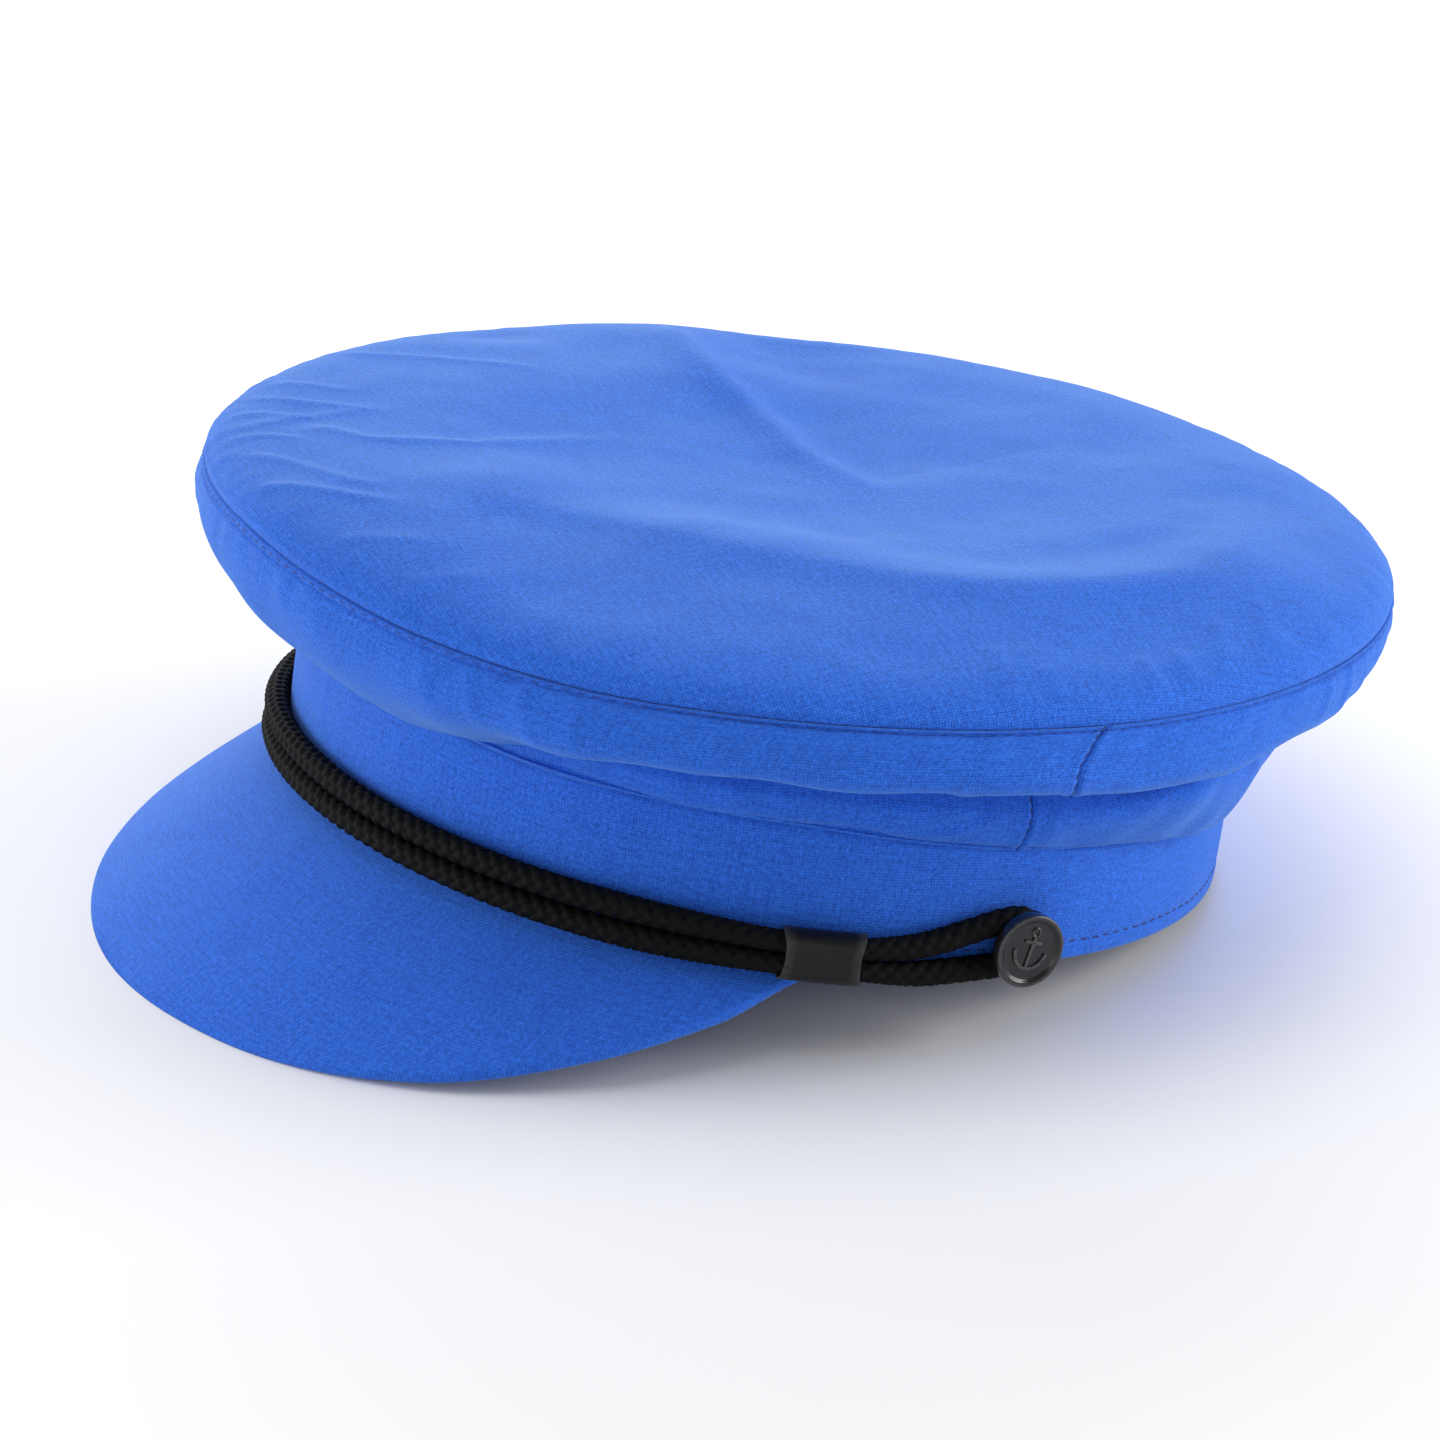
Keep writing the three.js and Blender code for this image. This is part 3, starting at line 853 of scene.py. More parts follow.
@dataclass
class TopPanel:
    """Round top panel of the crown, puffed towards its rim, with a ridge, dents and wrinkles."""

    puff: float = 9.0
    flat: tuple[float, float] = (0.245, 0.243)
    near_starts: tuple[float, float] = (12, 45)
    near_ends: tuple[float, float] = (125, 165)
    near_fades: tuple[float, float] = (0.38, 0.62)
    around: int = 560
    rings: int = 82
    dent_fade: float = 0.12
    puff_table = Table(
        (0, 0), (0.012, 0.17), (0.028, 0.33), (0.05, 0.48), (0.08, 0.61), (0.12, 0.72),
        (0.25, 0.92), (0.42, 1), (0.7, 0.72), (1, 0.6),
    )
    near_table = Table(
        (0, 0), (0.012, 0.18), (0.028, 0.33), (0.05, 0.46), (0.08, 0.59), (0.12, 0.71),
        (0.20, 0.92), (0.27, 1.08), (0.315, 1.17), (0.36, 1.22), (0.42, 1.20), (0.62, 0.98),
        (1, 0.8),
    )
    near_reach = Table(
        (0, 1.3), (25, 1.3), (58, 1.28), (74, 1.13), (88, 0.97), (99, 0.88), (110, 0.80),
        (123, 0.72), (150, 0.66), (180, 0.66),
    )
    edge_roll = (
        (-2.4, -1.85), (-1.2, -1.85), (-0.5, -1.84), (-0.15, -1.79), (0.0, -1.64), (0.1, -1.3),
        (0.14, -0.7), (0.08, -0.25),
    )
    dents = (
        (-0.5, -0.14, 0.40, 0.11, 4, 0.16),
        (-0.7, -0.34, 0.22, 0.14, 10, -0.20),
        (-0.4, -0.45, 0.35, 0.22, -25, -0.20),
    )
    broad = (
        (-0.84, 0.22, 0.10, 0.09, 80, -0.14),
        (-0.88, 0.04, 0.09, 0.10, 80, 0.10),
        (-0.36, -0.20, 0.30, 0.07, 20, -0.10),
        (0.06, 0.56, 0.12, 0.07, 40, 0.06),
        (0.40, -0.05, 0.16, 0.30, 15, 0.04),
        (-0.30, 0.55, 0.22, 0.16, 20, -0.05),
    )
    creases = (
        Crease(2.4, 6.5, 2.2, (
            (-0.90, -0.11), (-0.78, -0.096), (-0.51, -0.062), (-0.32, -0.07), (-0.14, -0.068),
            (0.02, -0.09), (0.12, -0.12))),
        Crease(0.7, 7.0, 1.0, (
            (0.60, -0.56), (0.66, -0.42), (0.69, -0.25), (0.695, -0.10), (0.668, 0.017),
            (0.586, 0.162), (0.473, 0.296), (0.356, 0.417), (0.234, 0.50), (0.174, 0.588),
            (0.10, 0.66), (0.02, 0.72))),
        Crease(0.75, 3.0, 0.5, (
            (-0.25, 0.86), (-0.242, 0.767), (-0.172, 0.718), (-0.144, 0.539), (-0.213, 0.329),
            (-0.229, 0.189))),
        Crease(0.55, 2.4, 0.3, ((-0.74, 0.60), (-0.679, 0.493), (-0.602, 0.334), (-0.55, 0.22))),
        Crease(0.70, 2.4, 0.4, ((-0.01, 0.985), (0.02, 0.94), (0.111, 0.842), (0.17, 0.78))),
        Crease(0.60, 2.2, 0.4, ((-0.20, 0.97), (-0.093, 0.89), (0.036, 0.828), (0.09, 0.77))),
        Crease(0.55, 2.0, 0.3, ((-0.40, 0.90), (-0.36, 0.83), (-0.30, 0.75))),
        Crease(0.50, 1.9, 0.3, ((-0.27, 0.94), (-0.23, 0.87), (-0.19, 0.81))),
        Crease(0.45, 1.9, 0.2, ((-0.49, 0.85), (-0.45, 0.79), (-0.38, 0.70), (-0.33, 0.62))),
        Crease(0.40, 2.0, 0.2, ((-0.57, 0.80), (-0.53, 0.72), (-0.45, 0.62))),
        Crease(0.40, 2.0, 0.0, ((-0.31, 0.93), (-0.30, 0.86), (-0.33, 0.74), (-0.36, 0.60))),
        Crease(0.35, 2.2, 0.0, ((0.24, 0.93), (0.27, 0.86), (0.32, 0.78))),
        Crease(0.30, 2.4, 0.0, ((0.40, 0.88), (0.42, 0.80), (0.45, 0.72))),
        Crease(0.45, 2.4, 0.0, ((0.83, 0.075), (0.875, 0.084), (0.955, 0.10), (0.99, 0.104))),
        Crease(0.45, 2.2, 0.0, ((0.88, -0.158), (0.922, -0.154), (0.985, -0.148))),
        Crease(0.35, 1.8, 0.0, ((0.86, -0.23), (0.91, -0.225), (0.96, -0.22))),
        Crease(0.50, 2.0, 0.0, ((0.79, -0.35), (0.844, -0.324), (0.942, -0.288))),
        Crease(0.40, 2.0, 0.0, ((0.74, -0.46), (0.80, -0.43), (0.88, -0.40))),
        Crease(0.30, 2.0, 0.0, ((0.90, 0.02), (0.94, 0.02), (0.985, 0.02))),
    )

    def hump(self, side: np.ndarray, front: np.ndarray, row: tuple[float, ...]) -> np.ndarray:
        """One ridge or dent.

        Args:
            side: places to the side, in shares of the rim's half width.
            front: places to the front, in shares of the rim's half length.
            row: its side, front, length, width, turn in degrees and height.

        Returns:
            Its height at each place, as a share of the puff.
        """
        at_side, at_front, long, wide, turn, height = row
        c, s = math.cos(math.radians(turn)), math.sin(math.radians(turn))
        along = (side - at_side) * c + (front - at_front) * s
        across = (front - at_front) * c - (side - at_side) * s
        return height * np.exp(-((along / long) ** 2) - (across / wide) ** 2)

    def height(self, side: np.ndarray, front: np.ndarray) -> np.ndarray:
        """Height of the panel over the rim's surface, in millimetres."""
        inwards = 1 - np.minimum(1, np.hypot(side, front))
        angle = np.degrees(np.arctan2(side, front))
        stretched = inwards / self.near_reach.at(np.abs(angle))
        toward = ease(angle, *self.near_starts) * (1 - ease(angle, *self.near_ends))
        toward = toward * (1 - ease(stretched, *self.near_fades))
        total = self.puff_table.at(inwards)
        total = total + (self.near_table.at(stretched) - total) * toward
        fade = np.minimum(1, inwards / self.dent_fade)
        for row in (*self.dents, *self.broad):
            total = total + fade * self.hump(side, front, row)
        down = inwards * FORM.rim_width / 2
        arc = np.radians(angle) * FORM.rim_width / 2
        unit = (FORM.rim_width / 2, FORM.rim_length / 2)
        relief = sum(crease.height(side, front, unit) for crease in self.creases)
        gather = Waves(11, 5, 12).at(arc, down * 0.25) * bell(down - 2, 4.5)
        ripple = Waves(5, 34, 80).at(side * 115, front * 115) * ease(inwards, 0, 0.15)
        faint = Waves(8, 12, 26).at(side * 115, front * 115) * ease(inwards, 0, 0.1)
        held = ease(down, 0.3, 5)
        return (
            self.puff * total + relief * held + 0.13 * gather + 0.30 * ripple + 0.07 * faint
        )

    def build(self, cloth: bpy.types.Material) -> bpy.types.Object:
        """Builds the panel as one closed piece."""
        angle = np.linspace(0, 360, self.around, endpoint=False)[:, None]
        a = np.radians(angle)
        rolled = []
        for out, up in self.edge_roll:
            share = 1 + out / (FORM.rim_width / 2)
            side, front = share * np.sin(a), share * np.cos(a)
            rolled.append(FORM.on_crown(side, front, np.full_like(side, up)))
        inwards = np.linspace(0.002, 1, self.rings) ** 1.3
        share = (1 - inwards)[None, :]
        side, front = share * np.sin(a), share * np.cos(a)
        dome = FORM.on_crown(side, front, self.height(side, front))
        points = np.concatenate([*rolled, dome], axis=1)[:, :-1]
        inner = lengths_down(points)
        outwards = inner[:, -1:] - inner
        turn = np.concatenate([a, [[2 * math.pi]]])
        outwards = np.concatenate([outwards, outwards[:1]])
        flat = np.stack([outwards * np.sin(turn), outwards * np.cos(turn)], axis=-1)
        made = Skin("crown_top_cloth", FORM.laid(points), flat * MM, True, (0, 0, 0)).build()
        self.close_pole(made, points.shape[1])
        thicken(made, FORM.ply)
        dress(made, cloth, Slot.CLOTH, "crown_top")
        return made

    def close_pole(self, made: bpy.types.Object, cols: int) -> None:
        """Fills the small ring in the middle of the panel.

        Args:
            made: the panel's object.
            cols: number of points down each row of its grid.
        """
        select_only(made)
        bpy.ops.object.mode_set(mode="EDIT")
        bpy.ops.mesh.select_mode(type="VERT")
        bpy.ops.mesh.select_all(action="DESELECT")
        bpy.ops.object.mode_set(mode="OBJECT")
        for row in range(self.around):
            made.data.vertices[row * cols + cols - 1].select = True
        bpy.ops.object.mode_set(mode="EDIT")
        bpy.ops.mesh.merge(type="CENTER")
        bpy.ops.object.mode_set(mode="OBJECT")


@dataclass
class SidePanel:
    """One half of the crown's side panel: the strip under the rim and the folds down to the band."""

    name: str
    node: str
    start: float
    end: float
    held: str
    flat: tuple[float, float]
    share: float
    sewn_ends: bool = False
    strip_drop: float = 14.0
    strip_puff: float = 3.0
    strip_belly: float = 0.45
    strip_edge_puff: float = 0.2
    strip_hang: float = 7.0
    tier_flare: float = 7.0
    tier_roll: float = 1.7
    tier_foot: float = 1.5
    lean: float = 3.0
    stitch_line: float = 1.55
    top_turn = (
        (-4.0, 0.05), (-2.6, 0.05), (-1.5, 0.05), (-0.8, 0.05), (-0.35, 0.03), (-0.1, -0.05),
        (0.0, -0.18),
    )
    foot_turn = ((0.32, 0.2), (0.38, -0.1), (0.24, -0.42), (-0.2, -0.58), (-1.2, -0.6))
    unit = (2.0, 45.0)
    creases = (
        Crease(1.0, 2.2, 0.0, ((96, 0.44), (101, 0.43), (106, 0.40), (111, 0.36), (117, 0.31))),
        Crease(0.6, 1.3, 0.4, ((78.5, 0.48), (80.5, 0.42), (82.5, 0.37), (85, 0.31))),
        Crease(0.6, 1.3, 0.3, ((82, 0.84), (85, 0.78), (87.5, 0.72), (90, 0.68))),
        Crease(0.4, 1.6, 0.0, ((31, 0.05), (32, 0.15), (33.5, 0.30))),
        Crease(0.45, 1.6, 0.0, ((36, 0.05), (37.5, 0.16), (39, 0.34))),
        Crease(0.5, 1.8, 0.0, ((41, 0.05), (43, 0.16), (45, 0.36))),
        Crease(0.35, 1.8, 0.0, ((47, 0.06), (48, 0.16), (49, 0.30))),
        Crease(0.5, 1.6, 0.0, ((123, 0.03), (124, 0.12), (124, 0.30))),
        Crease(0.6, 1.6, 0.0, ((127.5, 0.03), (128.5, 0.14), (128, 0.32))),
        Crease(0.5, 1.8, 0.0, ((132, 0.03), (133, 0.14), (134, 0.32))),
        Crease(0.35, 2.0, 0.0, ((60, 0.08), (62, 0.2), (63, 0.36))),
        Crease(0.5, 2.2, 0.0, ((160, 0.05), (162, 0.2), (163, 0.4))),
        Crease(0.5, 2.2, 0.0, ((205, 0.05), (203, 0.2), (204, 0.4))),
        Crease(0.9, 2.6, 0.6, ((238, 0.66), (243, 0.56), (248, 0.47), (252, 0.40))),
        Crease(0.5, 2.0, 0.0, ((-40, 0.05), (-41, 0.2), (-43, 0.36))),
        Crease(0.5, 2.0, 0.0, ((-70, 0.5), (-74, 0.42), (-79, 0.34))),
    )
    drop = Table(
        (0, 1.3), (28, 1.08), (42, 0.87), (55, 0.84), (88, 0.84), (101, 1.02), (110, 0.98),
        (122, 0.84), (135, 0.93), (155, 1.12), (180, 1.2),
    )
    puff = Table((0, 0.15), (30, 0.45), (55, 0.8), (90, 0.8), (120, 0.45), (155, 0.05), (180, 0.1))
    hang = Table((0, 0.8), (30, 0.5), (55, 0), (90, 0), (120, 0.3), (155, 1), (180, 1))
    tuck = Table(
        (0, 0.72), (30, 0.7), (55, 0.88), (90, 0.9), (106, 0.88), (116, 0.97), (128, 0.9),
        (155, 0.8), (180, 0.8),
    )
    groove = Table(
        (0, -0.15), (22, 0), (36, 0.4), (50, 0.68), (90, 0.78), (104, 0.78), (115, 0.88),
        (128, 0.75), (155, 0.6), (180, 0.6),
    )
    tier = Table(
        (0, 0), (22, 0.05), (36, 0.3), (50, 0.34), (90, 0.38), (103, 0.46), (113, 0.62),
        (124, 0.58), (155, 0.48), (180, 0.45),
    )
    flare = Table(
        (0, 0.35), (22, 0.3), (36, 0.22), (50, 0.25), (90, 0.42), (103, 0.85), (113, 1.5),
        (124, 1.42), (135, 1.2), (155, 1.0), (180, 1),
    )
    roll = Table(
        (0, 0.2), (30, 0.3), (50, 0.6), (70, 0.9), (90, 1), (103, 1.2), (114, 2.1), (124, 2.6),
        (136, 1.5), (155, 0.8), (180, 0.8),
    )
    sag = Table((0, 0), (103, 0), (114, 0.8), (124, 1.4), (136, 0.6), (155, 0), (180, 0))

    @property
    def flange(self) -> float:
        """Width of the seam allowance under the top panel."""
        turns = np.diff(np.array(self.top_turn), axis=0)
        return float(np.linalg.norm(turns, axis=1).sum())

    def section(self, angle: np.ndarray) -> np.ndarray:
        """Corner points of the panel's section at each angle.

        Args:
            angle: angles from the front.

        Returns:
            For each angle seven points, each its distance from the axis and its height.
        """
        near = FORM.from_front(angle)
        a = np.radians(angle)
        below = np.full_like(a, -FORM.cloth - FORM.seam_gap)
        rim = FORM.on_crown(np.sin(a), np.cos(a), below)
        foot = FORM.on_band(angle, 0.0, FORM.band_height(angle) + FORM.seam_gap)
        rim_out, rim_up = np.hypot(rim[:, 0], rim[:, 1]), rim[:, 2]
        foot_out, foot_up = np.hypot(foot[:, 0], foot[:, 1]), foot[:, 2]
        edge_up = rim_up - self.strip_drop * self.drop.at(near)
        rise = edge_up - foot_up
        puff = self.strip_puff * self.puff.at(near)
        groove_out = rim_out + (foot_out - rim_out) * self.tuck.at(near)
        roll_up = np.minimum(self.tier_foot, 0.45 * rise * self.tier.at(near)) - self.sag.at(near)
        corners = [
            (rim_out, rim_up),
            (rim_out + puff, rim_up + (edge_up - rim_up) * self.strip_belly),
            (rim_out + puff * self.strip_edge_puff - self.strip_hang * self.hang.at(near), edge_up),
            (groove_out, foot_up + rise * self.groove.at(near)),
            (foot_out + self.tier_flare * self.flare.at(near), foot_up + rise * self.tier.at(near)),
            (foot_out + self.tier_roll * self.roll.at(near), foot_up + roll_up),
            (foot_out, foot_up),
        ]
        return np.stack([np.stack(corner, axis=-1) for corner in corners], axis=1)

    @staticmethod
    def smooth(corners: np.ndarray, at: np.ndarray) -> np.ndarray:
        """Smooth line through the corner points of each section.

        Args:
            corners: sections, each with its corner points.
            at: places along a section, from 0 to 1.

        Returns:
            For each section the point at each place.
        """
        last = corners.shape[1] - 1
        step = np.clip((at * last).astype(int), 0, last - 1)
        t = (at * last - step)[None, :, None]
        p0, p1 = corners[:, np.maximum(step - 1, 0)], corners[:, step]
        p2, p3 = corners[:, step + 1], corners[:, np.minimum(step + 2, last)]
        v0, v1 = (p2 - p0) / 2, (p3 - p1) / 2
        return (
            (2 * p1 - 2 * p2 + v0 + v1) * t**3
            + (-3 * p1 + 3 * p2 - 2 * v0 - v1) * t**2 + v0 * t + p1
        )

    def build(
        self, cloth: bpy.types.Material, thread: bpy.types.Material, dark: bpy.types.Material
    ) -> None:
        """Builds the half panel with its row of stitches, and, if its ends are sewn, those of the
        side seams.

        Args:
            cloth: finish of the panel.
            thread: finish of the stitches under the rim, darkened as painted shade.
            dark: finish of the stitches of the side seams.
        """
        count = int(abs(self.end - self.start) * 2.1)
        angle = np.linspace(self.start, self.end, count)
        fine = np.array([0.0, 0.12, 0.25, 0.4, 0.6, 0.85])
        angle = np.concatenate([self.start + fine, angle[2:-2], self.end - fine[::-1]])
        at = np.concatenate([np.linspace(0, 0.1, 16, endpoint=False), np.linspace(0.1, 1, 62)])
        line = self.smooth(self.section(angle), at)
        lean = np.radians(self.lean) * np.sin(np.radians(angle))
        heading = np.radians(angle)[:, None] - lean[:, None] * np.sin(
            np.pi * np.minimum(1, 2 * at))[None, :]
        line, at, heading = self.turned_in(line, at, heading)
        out, up = line[..., 0], line[..., 1]
        points = np.stack([out * np.sin(heading), -out * np.cos(heading), up], axis=-1)
        centre = np.array([0, 0, 45.0])
        down = lengths_down(points)
        arc = np.radians(angle)[:, None] * FORM.rim_width / 2
        points = pushed(points, False, centre, self.relief(angle[:, None], arc, down, at[None, :]))
        down = lengths_down(points)
        weave = np.stack([np.broadcast_to(arc, down.shape), down], axis=-1) * MM
        made = Skin(self.name, FORM.laid(points), weave, False, (0, 0, 0.045)).build()
        thicken(made, FORM.ply)
        dress(made, cloth, Slot.CLOTH, self.node)
        normal = normals_of(points, False, centre)
        row = int(np.argmin(np.abs(down.mean(axis=0) - self.stitch_line - self.flange)))
        rim = Stitching(f"{self.name}_rim_stitches").sew(points[:, row], normal[:, row])
        sewn = [dress(rim, thread, Slot.CLOTH)]
        if self.sewn_ends:
            sewn += self.sew_ends(points, normal, dark)

    def sew_ends(
        self, points: np.ndarray, normal: np.ndarray, thread: bpy.types.Material
    ) -> list[bpy.types.Object]:
        """Sews the side seams at both ends of the half panel.

        Args:
            points: the panel's grid.
            normal: its normals.
            thread: finish of the stitches.

        Returns:
            The two rows of stitches.
        """
        shown = slice(len(self.top_turn), -len(self.foot_turn))
        sewn = []
        for row, side in ((2, Side.RIGHT), (-3, Side.LEFT)):
            seam = Stitching(f"side_seam_stitches_{side.label}", 1.25, 2.0, 0.36)
            row_of_stitches = seam.sew(points[row, shown], normal[row, shown])
            sewn.append(dress(row_of_stitches, thread, Slot.CLOTH))
        return sewn

    def turned_in(
        self, line: np.ndarray, at: np.ndarray, heading: np.ndarray
    ) -> tuple[np.ndarray, np.ndarray, np.ndarray]:
        """Adds the seam allowances, which turn in under the top panel and behind the band.

        Args:
            line: for each angle the points of its section.
            at: places of those points along the section.
            heading: direction of each point from the axis.

        Returns:
            The three with the added points.
        """
        first, last = line[:, :1], line[:, -1:]
        over = [first + np.array(step) for step in self.top_turn]
        under = [last + np.array(step) for step in self.foot_turn]
        line = np.concatenate([*over, line[:, 1:-1], *under], axis=1)
        at = np.concatenate([np.zeros(len(over)), at[1:-1], np.ones(len(under))])
        heading = np.concatenate([
            np.repeat(heading[:, :1], len(over), axis=1), heading[:, 1:-1],
            np.repeat(heading[:, -1:], len(under), axis=1)], axis=1)
        return line, at, heading

    def relief(
        self, angle: np.ndarray, arc: np.ndarray, down: np.ndarray, at: np.ndarray
    ) -> np.ndarray:
        """Relief of the panel: seam turns, stitch dents, puckers and soft drag lines.

        Args:
            angle: angles of the rows.
            arc: lengths round the rim.
            down: lengths down from the rim.
            at: places along the section, from 0 to 1.

        Returns:
            Height over the plain form, in millimetres.
        """
        down = down - self.flange
        seam = 0.42 * bell(down - 0.7, 0.45)
        sewn = 0.5 + 0.5 * np.cos(2 * np.pi * arc / 2.9)
        dent = -(0.26 + 0.12 * sewn) * bell(down - self.stitch_line, 0.42)
        gather = 0.16 * Waves(21, 5, 11).at(arc, down * 0.3) * bell(down - 4, 5)
        drag = 0.45 * Waves(33, 18, 46).at(arc, down * 0.5) * ease(at, 0.05, 0.3)
        lower = 0.30 * Waves(41, 7, 16).at(arc, down * 0.35) * bell(at - 0.72, 0.16)
        ends = np.minimum(np.abs(angle - self.start), np.abs(angle - self.end)) * 2.0
        side_seam = (-0.5 * bell(ends, 0.4) + 0.22 * bell(ends - 1.2, 0.8)) * ease(at, 0, 0.02)
        calm = 1 - 0.75 * bell(ends, 3.0)
        reach = np.array([self.start, self.end])
        folds = [c for c in self.creases if reach[0] < c.line[0][0] < reach[1]]
        made = sum(crease.height(angle, at, self.unit) for crease in folds)
        loose = (gather + drag + lower) * calm + made
        return seam + dent + loose * ease(at, 0, 0.04) * (1 - ease(at, 0.93, 1)) + side_seam


@dataclass
class HeadBand:
    """Upright head band with its hem and the hem's stitches."""

    around: int = 560
    hem: float = 3.6
    edge = ((-1.1, 0.02), (-0.55, 0.06), (-0.18, 0.25), (-0.02, 0.6))

    def build(self, cloth: bpy.types.Material, thread: bpy.types.Material) -> None:
        """Builds the band and its row of stitches."""
        angle = np.linspace(0, 360, self.around, endpoint=False)
        tall = FORM.band_height(angle)[:, None]
        rising = np.concatenate([[1.0, 1.6, 2.2, 2.7], np.linspace(3.1, 4.3, 7), [4.8, 5.5, 6.4]])
        share = np.linspace(0, 1, 24)[None, 1:]
        height = np.concatenate([
            np.broadcast_to(np.array([up for _, up in self.edge]), (self.around, len(self.edge))),
            np.broadcast_to(rising, (self.around, len(rising))),
            6.4 + share * (tall - 6.4),
        ], axis=1)
        out = np.zeros_like(height)
        out[:, : len(self.edge)] = [out_by for out_by, _ in self.edge]
        out[:, -1] -= 1.2
        out[:, -2] -= 0.15
        height[:, -2] = height[:, -1] - 0.12
        arc = np.radians(angle)[:, None] * FORM.band_width / 2
        sewn = 0.5 + 0.5 * np.cos(2 * np.pi * arc / 3.0)
        out = out - (0.14 + 0.08 * sewn) * bell(height - self.hem, 0.45)
        out = out + 0.14 * bell(height - 1.9, 1.2)
        out = out + 0.16 * Waves(61, 22, 60).at(arc, height) * ease(height, 0.5, 6)
        out = out + 0.05 * Waves(64, 6, 12).at(arc, height * 0.4) * bell(height - self.hem, 2.0)
        points = FORM.on_band(angle[:, None], out, height)
        weave = np.stack([np.broadcast_to(arc, height.shape), height], axis=-1)
        last = weave[:1] + np.array([2 * np.pi * FORM.band_width / 2, 0])
        weave = np.concatenate([weave, last], axis=0) * MM
        made = Skin("band_cloth", FORM.laid(points), weave, True).build()
        thicken(made, FORM.band_wall)
        dress(made, cloth, Slot.CLOTH, "band")
        row = int(np.argmin(np.abs(height[0] - self.hem)))
        ring = np.concatenate([points[:, row], points[:1, row]])
        normal = normals_of(points, True, np.zeros(3))
        up = np.concatenate([normal[:, row], normal[:1, row]])
        sewn_ring = Stitching("band_hem_stitches", length=2.0, spacing=3.0).sew(ring, up)
        dress(sewn_ring, thread, Slot.CLOTH)


@dataclass
class Peak:
    """Stiff peak in one piece of cloth that turns over its edge."""

    reach: float = 53.0
    half_angle: float = 73.0
    slope: float = 42.7
    slope_ends: float = 38.5
    thick: float = 3.0
    camber: float = 0.6
    across: int = 200
    outline = Table((0, 1), (0.25, 0.94), (0.5, 0.765), (0.7, 0.51), (0.85, 0.28), (1, 0.05))

    def build(self, cloth: bpy.types.Material) -> None:
        """Builds the peak as one closed piece."""
        across = np.linspace(-1, 1, self.across)[:, None]
        share = self.outline.at(np.abs(across))
        reach = self.reach * share
        slope = np.radians(self.slope + (self.slope_ends - self.slope) * across**2)
        turn = np.minimum(self.thick / 2, reach / 2)
        t = np.linspace(0, math.pi, 11)[None, :]
        w = (np.linspace(0, 1, 46) ** 0.9)[None, :]
        first = 0.01
        upper = first + (reach - turn - first) * w
        edge_along = reach - turn + turn * np.sin(t)
        edge_deep = np.broadcast_to(self.thick / 2 * (1 - np.cos(t)), edge_along.shape)
        back = self.thick * np.tan(slope)
        lower = np.maximum(reach - turn, back) + (back - np.maximum(reach - turn, back)) * w[:, 1:]
        along = np.concatenate([upper, edge_along[:, 1:], lower], axis=1)
        deep = np.concatenate([
            np.zeros_like(upper), edge_deep[:, 1:], np.full_like(lower, self.thick)], axis=1)
        arc = np.radians(self.half_angle * across) * (FORM.band_width / 2 + along * 0.4)
        soft = Waves(71, 24, 70).at(arc, along) * 0.12 * ease(along, 4, 20) * (deep < 0.1)
        rise = self.camber * share * np.sin(np.pi * np.minimum(along / reach, 1)) - deep + soft
        out = along * np.cos(slope) + rise * np.sin(slope)
        height = rise * np.cos(slope) - along * np.sin(slope)
        points = FORM.on_band(
            self.half_angle * across, np.maximum(out, 0) - FORM.band_wall, height - FORM.seam_gap)
        weave = np.stack([arc, along + deep], axis=-1)
        weave = np.concatenate([weave, weave[:, :1]], axis=1) * MM
        centre = (0.0, -0.105, 0.004)
        made = Skin(
            "peak_cloth", FORM.laid(points), weave, False, centre, loops=True, capped=True).build()
        dress(made, cloth, Slot.CLOTH, "peak")


